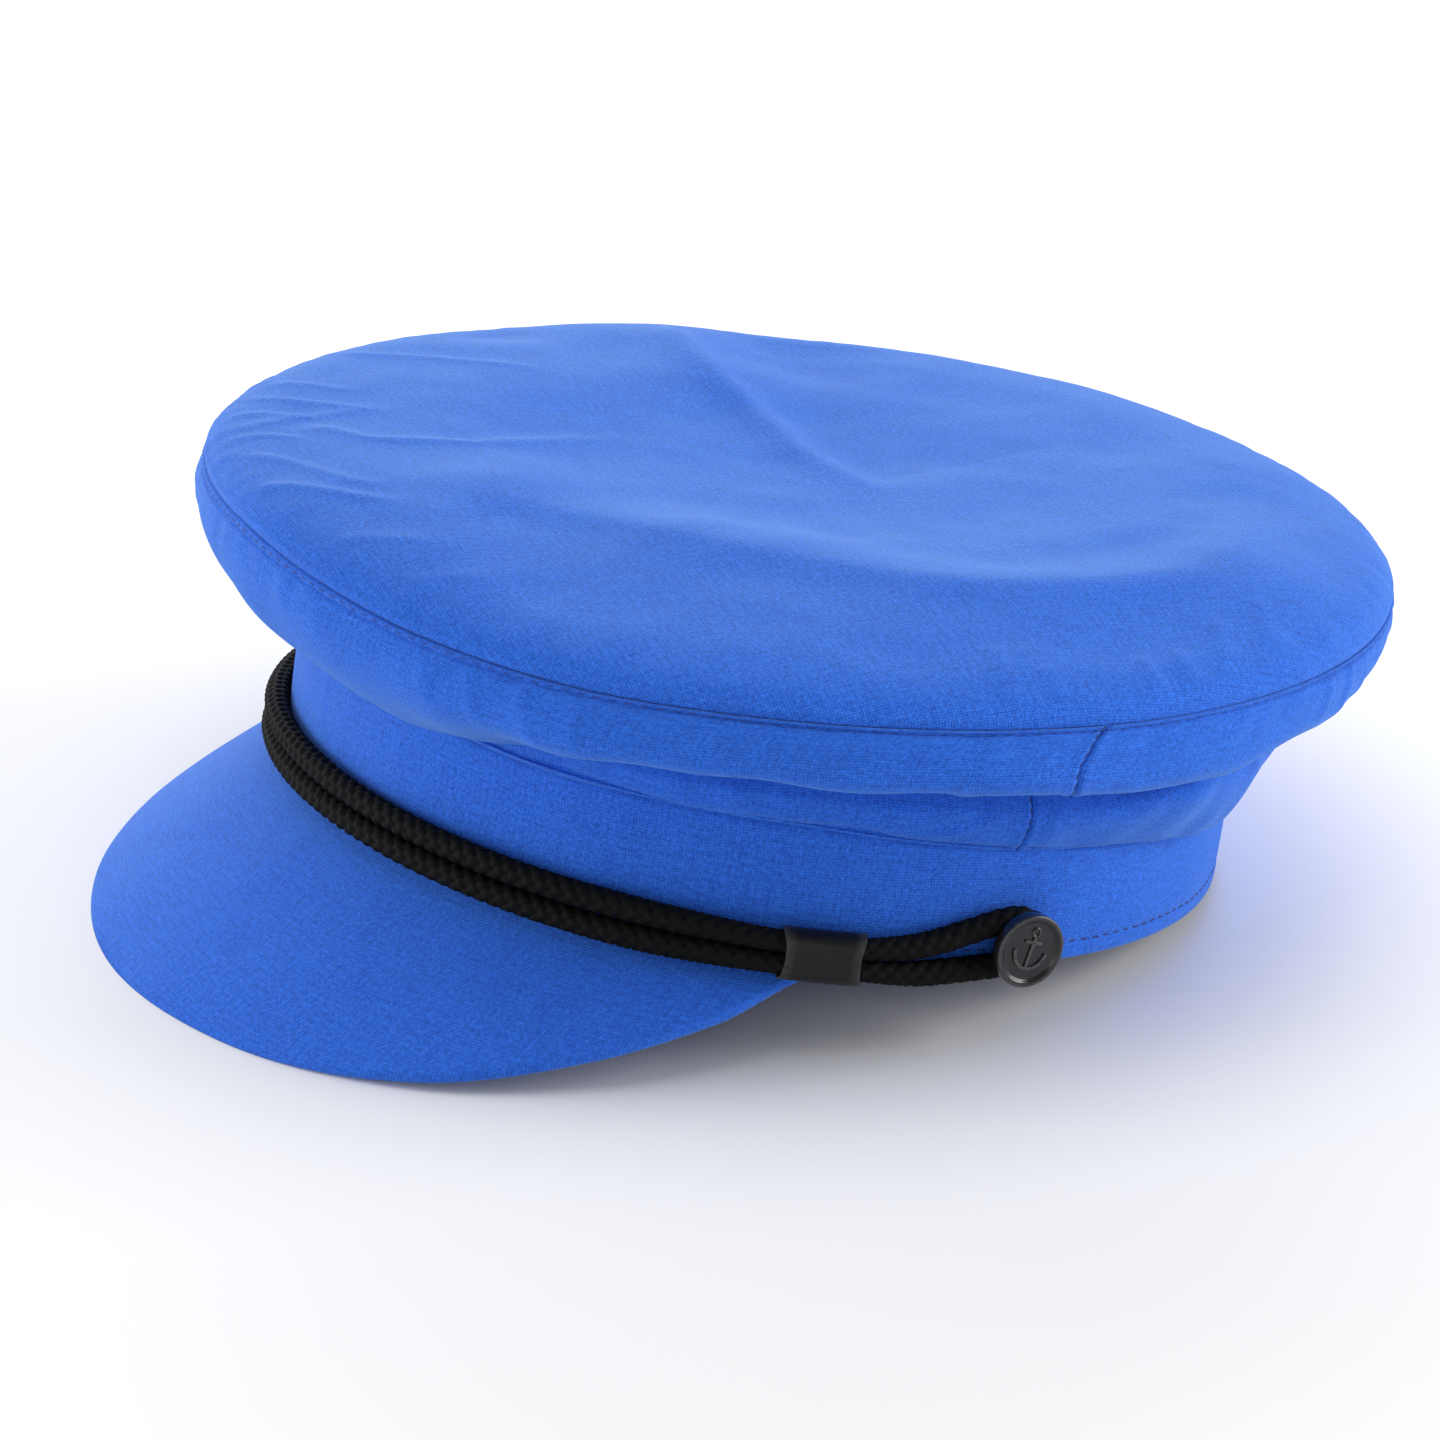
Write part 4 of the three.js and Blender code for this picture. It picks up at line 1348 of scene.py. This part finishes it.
@dataclass
class ChinCord:
    """Closed loop of round braided cord, held by two sleeves and two buttons."""

    cord: float = 5.0
    gap: float = 0.3
    strand_gap: float = 0.0
    strand_gap_front: float = 0.15
    front_height: float = 1.8
    sleeve_angle: float = 72.0
    sleeve_length: float = 15.5
    sleeve_wall: float = 0.4
    sleeve_play: float = 0.25
    button_angle: float = 94.5
    button_height: float = 6.1
    shank: float = 3.0
    loop_play: float = 0.4
    squeeze: float = 0.14
    front_points: int = 11
    strands: int = 4
    braid_pitch: float = 11.6
    strand_rise: float = 0.34
    strand_body: float = 0.62
    steps: int = 1700
    sides: int = 56
    tail = ((0.35, 0.12), (0.65, 0.6), (0.88, 0.95))

    @staticmethod
    def degrees(length: float) -> float:
        """Angle round the band over a length."""
        return math.degrees(length / (FORM.band_length / 2))

    @property
    def sleeve_radius(self) -> float:
        """Radius of a sleeve's round ends."""
        return self.cord / 2 + self.sleeve_play + self.sleeve_wall

    @property
    def sleeve_half(self) -> float:
        """Half of the angle that a sleeve covers."""
        return self.degrees(self.sleeve_length / 2)

    def in_sleeve(self, angle: np.ndarray) -> np.ndarray:
        """1 inside a sleeve, falling to 0 beside it."""
        away = np.abs(FORM.from_front(angle) - self.sleeve_angle) / self.sleeve_half - 1
        return np.exp(-(np.maximum(0, away) ** 2))

    def out(self, angle: np.ndarray) -> np.ndarray:
        """Distance of the cord's middle from the band."""
        free = self.gap + self.cord / 2
        return free + (self.gap + self.sleeve_radius - free) * self.in_sleeve(angle)

    def low(self, angle: np.ndarray) -> np.ndarray:
        """Height of the lower strand across the front."""
        way = ease(FORM.from_front(angle), 0, self.sleeve_angle - self.sleeve_half)
        return self.front_height * (1 - way)

    def high(self, angle: np.ndarray) -> np.ndarray:
        """Height of the upper strand across the front."""
        start = self.sleeve_angle - self.sleeve_half
        way = ease(FORM.from_front(angle), start / 2, start)
        gap = self.strand_gap_front + (self.strand_gap - self.strand_gap_front) * way
        return self.low(angle) + self.cord + gap

    def route(self) -> tuple[np.ndarray, np.ndarray]:
        """Points that the cord passes, and the squeeze of its sleeves there."""
        turn = self.shank / 2 + self.loop_play + self.cord / 2
        start, end = self.sleeve_angle - self.sleeve_half, self.sleeve_angle + self.sleeve_half
        across = np.linspace(-start, start, self.front_points)
        front = np.concatenate([[-end, -self.sleeve_angle], across, [self.sleeve_angle, end]])
        rows: list[tuple[float, float]] = [(a, float(self.low(a))) for a in front]

        def tail(side: int, up: int) -> list[tuple[float, float]]:
            """Strand from a sleeve to a button."""
            base = self.cord + self.strand_gap if up > 0 else 0.0
            return [(
                side * (end + (self.button_angle - end) * along),
                base + (self.button_height + up * turn - base) * opened,
            ) for along, opened in self.tail]

        def loop(side: int) -> list[tuple[float, float]]:
            """Half turn round a button's shank."""
            return [(
                side * (self.button_angle + self.degrees(turn * math.cos(math.radians(a)))),
                self.button_height + turn * math.sin(math.radians(a)),
            ) for a in (-90, -45, 0, 45, 90)]

        rows += tail(1, -1) + loop(1) + tail(1, 1)[::-1]
        rows += [(-a, float(self.high(-a))) for a in front]
        rows += tail(-1, 1) + loop(-1)[::-1] + tail(-1, -1)[::-1]
        angle, height = np.array(rows).T
        middle = (self.cord + self.strand_gap) / 2
        beside = np.abs(FORM.from_front(angle) - self.sleeve_angle) < self.sleeve_half + 3
        pinch = 1 - self.squeeze * self.in_sleeve(angle) * beside
        height = middle + (height - middle) * pinch
        return FORM.on_band(angle, self.out(angle), height), pinch

    @staticmethod
    def rounded(points: np.ndarray, steps: int) -> np.ndarray:
        """Even steps along a smooth closed line through points.

        Args:
            points: points that the line passes, each a row of numbers with its place first.
            steps: number of steps.

        Returns:
            The rows at each step.
        """
        p0, p1 = np.roll(points, 1, 0), points
        p2, p3 = np.roll(points, -1, 0), np.roll(points, -2, 0)

        def gap(a: np.ndarray, b: np.ndarray) -> np.ndarray:
            """Root of the distance between two rows."""
            return np.sqrt(np.linalg.norm((b - a)[:, :3], axis=1))[:, None]

        d0, d1, d2 = gap(p0, p1), gap(p1, p2), gap(p2, p3)
        t1 = ((p1 - p0) / d0 - (p2 - p0) / (d0 + d1) + (p2 - p1) / d1) * d1
        t2 = ((p2 - p1) / d1 - (p3 - p1) / (d1 + d2) + (p3 - p2) / d2) * d1
        t = np.linspace(0, 1, 60, endpoint=False)[None, :, None]
        p1, p2, t1, t2 = (x[:, None, :] for x in (p1, p2, t1, t2))
        line = (
            (2 * t**3 - 3 * t**2 + 1) * p1 + (t**3 - 2 * t**2 + t) * t1
            + (3 * t**2 - 2 * t**3) * p2 + (t**3 - t**2) * t2
        ).reshape(-1, points.shape[1])
        line = np.concatenate([line, line[:1]])
        way = np.concatenate([[0], np.cumsum(np.linalg.norm(np.diff(line[:, :3], axis=0), axis=1))])
        places = np.linspace(0, way[-1], steps, endpoint=False)
        return np.stack([np.interp(places, way, line[:, n]) for n in range(line.shape[1])], axis=1)

    def build(self, braid: bpy.types.Material) -> None:
        """Builds the braided loop as one closed tube with the strands in relief."""
        route, pinch = self.route()
        line = self.rounded(np.concatenate([route, pinch[:, None]], axis=1), self.steps)
        middle, pinch = line[:, :3], line[:, 3:]
        step = np.linalg.norm(np.roll(middle, -1, 0) - middle, axis=1)
        length = float(step.sum())
        ahead = np.roll(middle, -1, 0) - np.roll(middle, 1, 0)
        ahead /= np.linalg.norm(ahead, axis=1, keepdims=True)
        outward = middle / np.array([FORM.band_width**2, FORM.band_length**2, 1e12])
        outward -= ahead * np.sum(outward * ahead, axis=1, keepdims=True)
        outward /= np.linalg.norm(outward, axis=1, keepdims=True)
        sideways = np.cross(ahead, outward)
        turn = np.linspace(0, 2 * math.pi, self.sides, endpoint=False)[None, :]
        way = (np.arange(self.steps) * length / self.steps)[:, None]
        pitch = length / round(length / self.braid_pitch)
        radius = (self.relief(turn, way / pitch) * pinch)[..., None]
        cosine, sine = np.cos(turn)[..., None], np.sin(turn)[..., None]
        points = middle[:, None] + radius * (cosine * outward[:, None] + sine * sideways[:, None])
        along = np.concatenate([way, [[length]]])
        around = np.concatenate([turn, [[2 * math.pi]]], axis=1) * self.cord / 2
        weave = np.stack(np.broadcast_arrays(along, around), axis=-1) * MM
        made = Skin("cord_braid", FORM.laid(points), weave, True, loops=True).build()
        self.face_out(made, middle)
        dress(made, braid, Slot.CORD, "cord_loop")
        LOG.info("cord loop is %.0f mm long", length)

    def face_out(self, made: bpy.types.Object, middle: np.ndarray) -> None:
        """Turns the tube's faces away from its middle line if they point inwards."""
        polygon = made.data.polygons[0]
        inside = Vector(FORM.laid(middle[:1])[0])
        if polygon.normal.dot(polygon.center - inside) < 0:
            made.data.flip_normals()

    def relief(self, turn: np.ndarray, way: np.ndarray) -> np.ndarray:
        """Radius of the braid: two sets of strands that cross over and under each other.

        Args:
            turn: angle round the cord.
            way: length along the cord, in turns of a strand.

        Returns:
            The radius at each place, in millimetres.
        """
        count = self.strands
        right = count * (turn / (2 * math.pi) + way)
        left = count * (turn / (2 * math.pi) - way)
        right_row, left_row = np.floor(right), np.floor(left)
        right_in, left_in = right - right_row, left - left_row
        parity = 1 - 2 * ((right_row + left_row) % 2)
        core = self.cord / 2 - self.strand_rise - self.strand_body

        def strand(across: np.ndarray, along: np.ndarray, over: np.ndarray) -> np.ndarray:
            """Height of one set of strands."""
            round_top = np.sqrt(np.maximum(0, 1 - (2 * across - 1) ** 2))
            return over * self.strand_rise * np.sin(np.pi * along) + self.strand_body * round_top

        over = strand(right_in, left_in, parity)
        under = strand(left_in, right_in, -parity)
        return core + np.maximum(np.maximum(over, under), -0.1)


def seated(made: bpy.types.Object, side: Side, angle: float, height: float) -> None:
    """Places a piece that was modelled about its own middle on the band, and bakes its place.

    Its third axis then points out of the band and its second axis up.

    Args:
        made: the piece, in metres.
        side: the wearer's side.
        angle: angle from the front.
        height: height over the band's lower edge, in millimetres.
    """
    a = math.radians(angle) * side.value
    outward = np.array([math.sin(a), -math.cos(a), 0.0])
    upward = np.array([0.0, 0.0, 1.0])
    across = np.cross(upward, outward)
    foot = FORM.on_band(side.value * angle, 0.0, height)
    ends = np.stack([foot, foot + across, foot + upward, foot + outward])
    origin, x, y, z = FORM.laid(ends, pressed=False)
    columns = np.stack([(x - origin), (y - origin), (z - origin)], axis=1) / MM
    place = Matrix(columns.tolist()).to_4x4()
    place.translation = Vector(origin)
    made.data.transform(place)
    made.data.update()


def wear_and_highlight_of(made: bpy.types.Object, worn_and_highlight: np.ndarray) -> None:
    """Keeps how much each point of a piece is painted lighter, from 0 to 1, as its attribute: partly
    wear, partly painted highlight.
    """
    layer = made.data.attributes.new("wear_and_highlight", "FLOAT", "POINT")
    layer.data.foreach_set("value", np.clip(worn_and_highlight, 0, 1).astype(np.float32))


def points_of(made: bpy.types.Object) -> np.ndarray:
    """Places of a mesh's points, in millimetres."""
    values = np.zeros(len(made.data.vertices) * 3)
    made.data.vertices.foreach_get("co", values)
    return values.reshape(-1, 3) / MM


def put_points(made: bpy.types.Object, points: np.ndarray) -> None:
    """Moves a mesh's points to places in millimetres."""
    made.data.vertices.foreach_set("co", (points * MM).ravel())
    made.data.update()


@dataclass
class Sleeve:
    """Flattened metal sleeve that holds the cord's two strands together."""

    cord: ChinCord
    length: float = 15.2
    radius: float = 2.56
    spread: float = 2.22
    wall: float = 0.35
    hollow: float = 0.75

    def build(self, enamel: bpy.types.Material, side: Side) -> None:
        """Builds the sleeve of one side."""
        bpy.ops.object.select_all(action="DESELECT")
        bpy.ops.mesh.primitive_cylinder_add(
            vertices=48, radius=self.radius * MM, depth=self.length * MM, end_fill_type="NOTHING",
            rotation=(0, math.pi / 2, 0))
        made = bpy.context.active_object
        bpy.ops.object.transform_apply(location=True, rotation=True, scale=True)
        made.name = f"sleeve_{side.label}"
        bpy.ops.object.mode_set(mode="EDIT")
        bpy.ops.mesh.select_all(action="SELECT")
        bpy.ops.mesh.subdivide(number_cuts=5)
        bpy.ops.object.mode_set(mode="OBJECT")
        points = points_of(made)
        points[:, 1] += np.clip(points[:, 1] / 0.8, -1, 1) * self.spread
        tall = np.abs(points[:, 1]) / (self.radius + self.spread)
        near_end = np.abs(points[:, 0]) / (self.length / 2)
        points[:, 0] *= 1 - 2 * self.hollow / self.length * (1 - tall**2) * near_end**3
        points[:, 2] -= points[:, 0] ** 2 / FORM.band_length
        put_points(made, points)
        apply_modifier(made, "SOLIDIFY", thickness=self.wall * MM, offset=0.0)
        apply_modifier(made, "BEVEL", width=0.12 * MM, segments=3, limit_method="ANGLE",
                       angle_limit=math.radians(50))
        points = points_of(made)
        tall = np.abs(points[:, 1]) / (self.radius + self.spread)
        edge = self.length / 2 - self.hollow * (1 - np.minimum(tall, 1) ** 2)
        # The lighter rims at both ends of the sleeve are partly wear, partly painted highlight.
        wear_and_highlight_of(made, 0.5 * bell(np.abs(points[:, 0]) - edge, 0.3))
        points[:, 2] += self.cord.gap + self.cord.sleeve_radius
        put_points(made, points)
        select_only(made)
        bpy.ops.object.shade_smooth_by_angle(angle=math.radians(35))
        middle = (self.cord.cord + self.cord.strand_gap) / 2
        seated(made, side, self.cord.sleeve_angle, middle)
        dress(made, enamel, Slot.KEEPER, f"keeper_{side.label}")


@dataclass
class AnchorButton:
    """Button on a shank, with a raised rim and a plain anchor in relief."""

    cord: ChinCord
    diameter: float = 14.0
    thick: float = 2.4
    rim: float = 1.05
    dish: float = 0.55
    relief: float = 0.42
    shank_in: float = 0.2
    tilt: float = -12.0

    @property
    def back(self) -> float:
        """Height of the button's back over the band."""
        return self.cord.gap * 2 + self.cord.cord

    def disc(self) -> bpy.types.Object:
        """The button's round body with a sunk face."""
        bpy.ops.object.select_all(action="DESELECT")
        bpy.ops.mesh.primitive_cylinder_add(
            vertices=96, radius=self.diameter / 2 * MM, depth=self.thick * MM,
            location=(0, 0, (self.back + self.thick / 2) * MM))
        made = bpy.context.active_object
        bpy.ops.object.transform_apply(location=True, rotation=True, scale=True)
        bpy.ops.object.mode_set(mode="EDIT")
        bpy.ops.mesh.select_mode(type="FACE")
        bpy.ops.mesh.select_all(action="DESELECT")
        bpy.ops.object.mode_set(mode="OBJECT")
        for polygon in made.data.polygons:
            polygon.select = polygon.normal.z > 0.9
        bpy.ops.object.mode_set(mode="EDIT")
        bpy.ops.mesh.inset(thickness=self.rim * MM, depth=0)
        bpy.ops.mesh.inset(thickness=self.dish * 0.6 * MM, depth=-self.dish * MM)
        bpy.ops.mesh.inset(thickness=1.2 * MM, depth=0)
        bpy.ops.mesh.inset(thickness=1.5 * MM, depth=0.06 * MM)
        bpy.ops.object.mode_set(mode="OBJECT")
        apply_modifier(made, "BEVEL", width=0.38 * MM, segments=4, limit_method="ANGLE",
                       angle_limit=math.radians(25))
        return made

    def bar(
        self, width: float, height: float, x: float, y: float, turn: float = 0.0
    ) -> bpy.types.Object:
        """One straight stroke of the relief, its sizes and place in millimetres."""
        bpy.ops.mesh.primitive_cube_add(
            size=1, location=(x * MM, y * MM, self.face * MM), rotation=(0, 0, math.radians(turn)))
        made = bpy.context.active_object
        made.scale = (width * MM, height * MM, 2 * self.relief * MM)
        bpy.ops.object.transform_apply(location=True, rotation=True, scale=True)
        apply_modifier(made, "BEVEL", width=0.13 * MM, segments=2)
        return made

    @property
    def face(self) -> float:
        """Height of the sunk face over the band."""
        return self.back + self.thick - self.dish

    def anchor(self) -> list[bpy.types.Object]:
        """Strokes of a plain anchor: ring, stock, shank, arms and flukes."""
        reach = self.diameter / 2 - self.rim - self.dish
        bpy.ops.mesh.primitive_torus_add(
            major_radius=0.145 * reach * MM, minor_radius=0.055 * reach * MM, major_segments=24,
            minor_segments=8, location=(0, 0.68 * reach * MM, self.face * MM))
        ring = bpy.context.active_object
        bpy.ops.object.transform_apply(location=True, rotation=True, scale=True)
        strokes = [
            ring,
            self.bar(0.12 * reach, 1.15 * reach, 0, -0.05 * reach),
            self.bar(0.7 * reach, 0.12 * reach, 0, 0.32 * reach),
            self.bar(0.12 * reach, 0.34 * reach, -0.60 * reach, -0.16 * reach, 18),
            self.bar(0.12 * reach, 0.34 * reach, 0.60 * reach, -0.16 * reach, -18),
        ]
        for k in range(9):
            a = math.radians(270 + (k - 4) * 15)
            strokes.append(self.bar(
                0.2 * reach, 0.12 * reach, 0.62 * reach * math.cos(a), 0.62 * reach * math.sin(a),
                math.degrees(a) + 90))
        return strokes

    def build(self, enamel: bpy.types.Material, side: Side) -> None:
        """Builds the button of one side, joined with its shank and its relief."""
        made = self.disc()
        foot, top = self.cord.gap, self.back + self.shank_in
        bpy.ops.mesh.primitive_cylinder_add(
            vertices=32, radius=self.cord.shank / 2 * MM, depth=(top - foot) * MM,
            location=(0, 0, (top + foot) / 2 * MM))
        shank = bpy.context.active_object
        bpy.ops.object.transform_apply(location=True, rotation=True, scale=True)
        strokes = self.anchor()
        select_only(*strokes, shank, made)
        bpy.ops.object.join()
        made.name = f"anchor_button_{side.label}"
        select_only(made)
        bpy.ops.object.shade_smooth_by_angle(angle=math.radians(40))
        points = points_of(made)
        out = np.hypot(points[:, 0], points[:, 1])
        raised = ease(points[:, 2], self.face + 0.1, self.face + self.relief)
        rim_edge = bell(out - self.diameter / 2 + 0.25, 0.3) * (points[:, 2] > self.back + 1)
        on_face = out < self.diameter / 2 - self.rim - 0.3
        # The raised anchor and the rim's edge are painted lighter: partly wear, partly painted
        # highlight.
        wear_and_highlight_of(made, np.maximum(0.55 * raised * on_face, 0.5 * rim_edge))
        turn = Matrix.Rotation(math.radians(self.tilt * side.value), 4, "Z")
        made.data.transform(turn)
        seated(made, side, self.cord.button_angle, self.cord.button_height)
        dress(made, enamel, Slot.BUTTON, f"button_{side.label}")


@dataclass(frozen=True)
class Studio:
    """Pale floor, soft lights and the camera at the photograph's angle."""

    azimuth: float = 65.695
    elevation: float = 21.865
    distance: float = 896.04
    right: float = -6.311
    up: float = 13.121
    lens: float = 112.5
    surround: float = 0.30
    lamps = (
        ("top_light", (0, 1.6, 0), 1.6, 12.0),
        ("back_light", (0, 0.5, -1.6), 1.2, 14.5),
        ("back_left_light", (-1, 0.5, -1.2), 1.0, 6.8),
        ("left_light", (-1.6, 0.15, 0), 1.0, 23.5),
        ("right_light", (1.5, 0.5, 0), 1.0, 20.5),
        ("near_light", (0, 0.35, 1.5), 1.0, 4.8),
    )

    def axes(self) -> tuple[np.ndarray, np.ndarray, np.ndarray]:
        """The camera's right, up and back directions."""
        az, el = math.radians(self.azimuth), math.radians(self.elevation)
        right = np.array([math.cos(az), math.sin(az), 0.0])
        back = np.array([
            math.sin(az) * math.cos(el), -math.cos(az) * math.cos(el), math.sin(el)])
        return right, np.cross(back, right), back

    def place_camera(self) -> None:
        """Makes the scene's camera."""
        right, up, back = self.axes()
        lift = FORM.band_length / 2 * math.sin(math.radians(FORM.tip)) - FORM.flattened
        middle = FORM.centring() + np.array([0, 0, lift * MM])
        place = middle + (right * self.right + up * self.up + back * self.distance) * MM
        bpy.ops.object.camera_add(location=place.tolist())
        camera = bpy.context.active_object
        camera.rotation_euler = Matrix(np.stack([right, up, back], axis=1).tolist()).to_euler()
        camera.data.lens = self.lens
        camera.data.sensor_width = 36.0
        camera.data.clip_start = 0.05
        bpy.context.scene.camera = camera

    def light(self, name: str, place: Vector, size: float, watts: float) -> None:
        """Adds one square soft light that faces the cap.

        Args:
            name: the light's name.
            place: where it hangs, in metres.
            size: length of its side, in metres.
            watts: its power.
        """
        bpy.ops.object.light_add(type="AREA", location=place)
        lamp = bpy.context.active_object
        lamp.name = name
        lamp.data.size = size
        lamp.data.energy = watts
        lamp.rotation_euler = (place - Vector((0, 0, 0.05))).to_track_quat("Z", "Y").to_euler()

    def build(self) -> None:
        """Makes the floor, the lights, the surrounding light and the camera."""
        bpy.ops.object.select_all(action="DESELECT")
        bpy.ops.mesh.primitive_plane_add(size=8.0)
        floor = bpy.context.active_object
        floor.name = "floor"
        floor.data.materials.append(TableTop().make())
        right = Vector(self.axes()[0])
        up, near = Vector((0, 0, 1.0)), Vector((right.y, -right.x, 0.0))
        for name, (sideways, high, nearer), size, watts in self.lamps:
            self.light(name, right * sideways + up * high + near * nearer, size, watts)
        world = bpy.data.worlds.new("surroundings")
        world.use_nodes = True
        background = world.node_tree.nodes["Background"]
        background.inputs["Color"].default_value = (1.0, 1.0, 1.0, 1.0)
        background.inputs["Strength"].default_value = self.surround
        bpy.context.scene.world = world
        bpy.context.scene.view_settings.view_transform = "Standard"
        self.place_camera()


def main() -> None:
    """Builds every piece of the cap and the studio round it."""
    logging.basicConfig(level=logging.INFO, format="%(name)s: %(message)s")
    Studio().build()
    # The rim stitches' thread is painted darker than the cloth, as painted shade.
    cotton, thread, braid = Cotton().make(), Thread().make(), Braid().make()
    dark = Thread("navy_thread", (0.002, 0.006, 0.035, 1.0), (0.006, 0.018, 0.11, 1.0)).make()
    sleeve_enamel = Enamel("satin_enamel", 0.34, 0.04, 0.22).make()
    button_enamel = Enamel("button_enamel", 0.14, 0.30, 0.35).make()
    cord = ChinCord()
    cord.build(braid)
    TopPanel().build(cotton)
    front = SidePanel(
        "crown_side_front_cloth", "crown_side_front", -93.5, 93.5, "gathered", (0.36, 0.055), 0.91,
        sewn_ends=True)
    front.build(cotton, thread, dark)
    back = SidePanel(
        "crown_side_back_cloth", "crown_side_back", 93.5, 266.5, "folded", (0.36, 0.065), 0.92)
    back.build(cotton, thread, dark)
    HeadBand().build(cotton, dark)
    Peak().build(cotton)
    for side in Side:
        Sleeve(cord).build(sleeve_enamel, side)
        AnchorButton(cord).build(button_enamel, side)


if __name__ == "__main__":
    main()
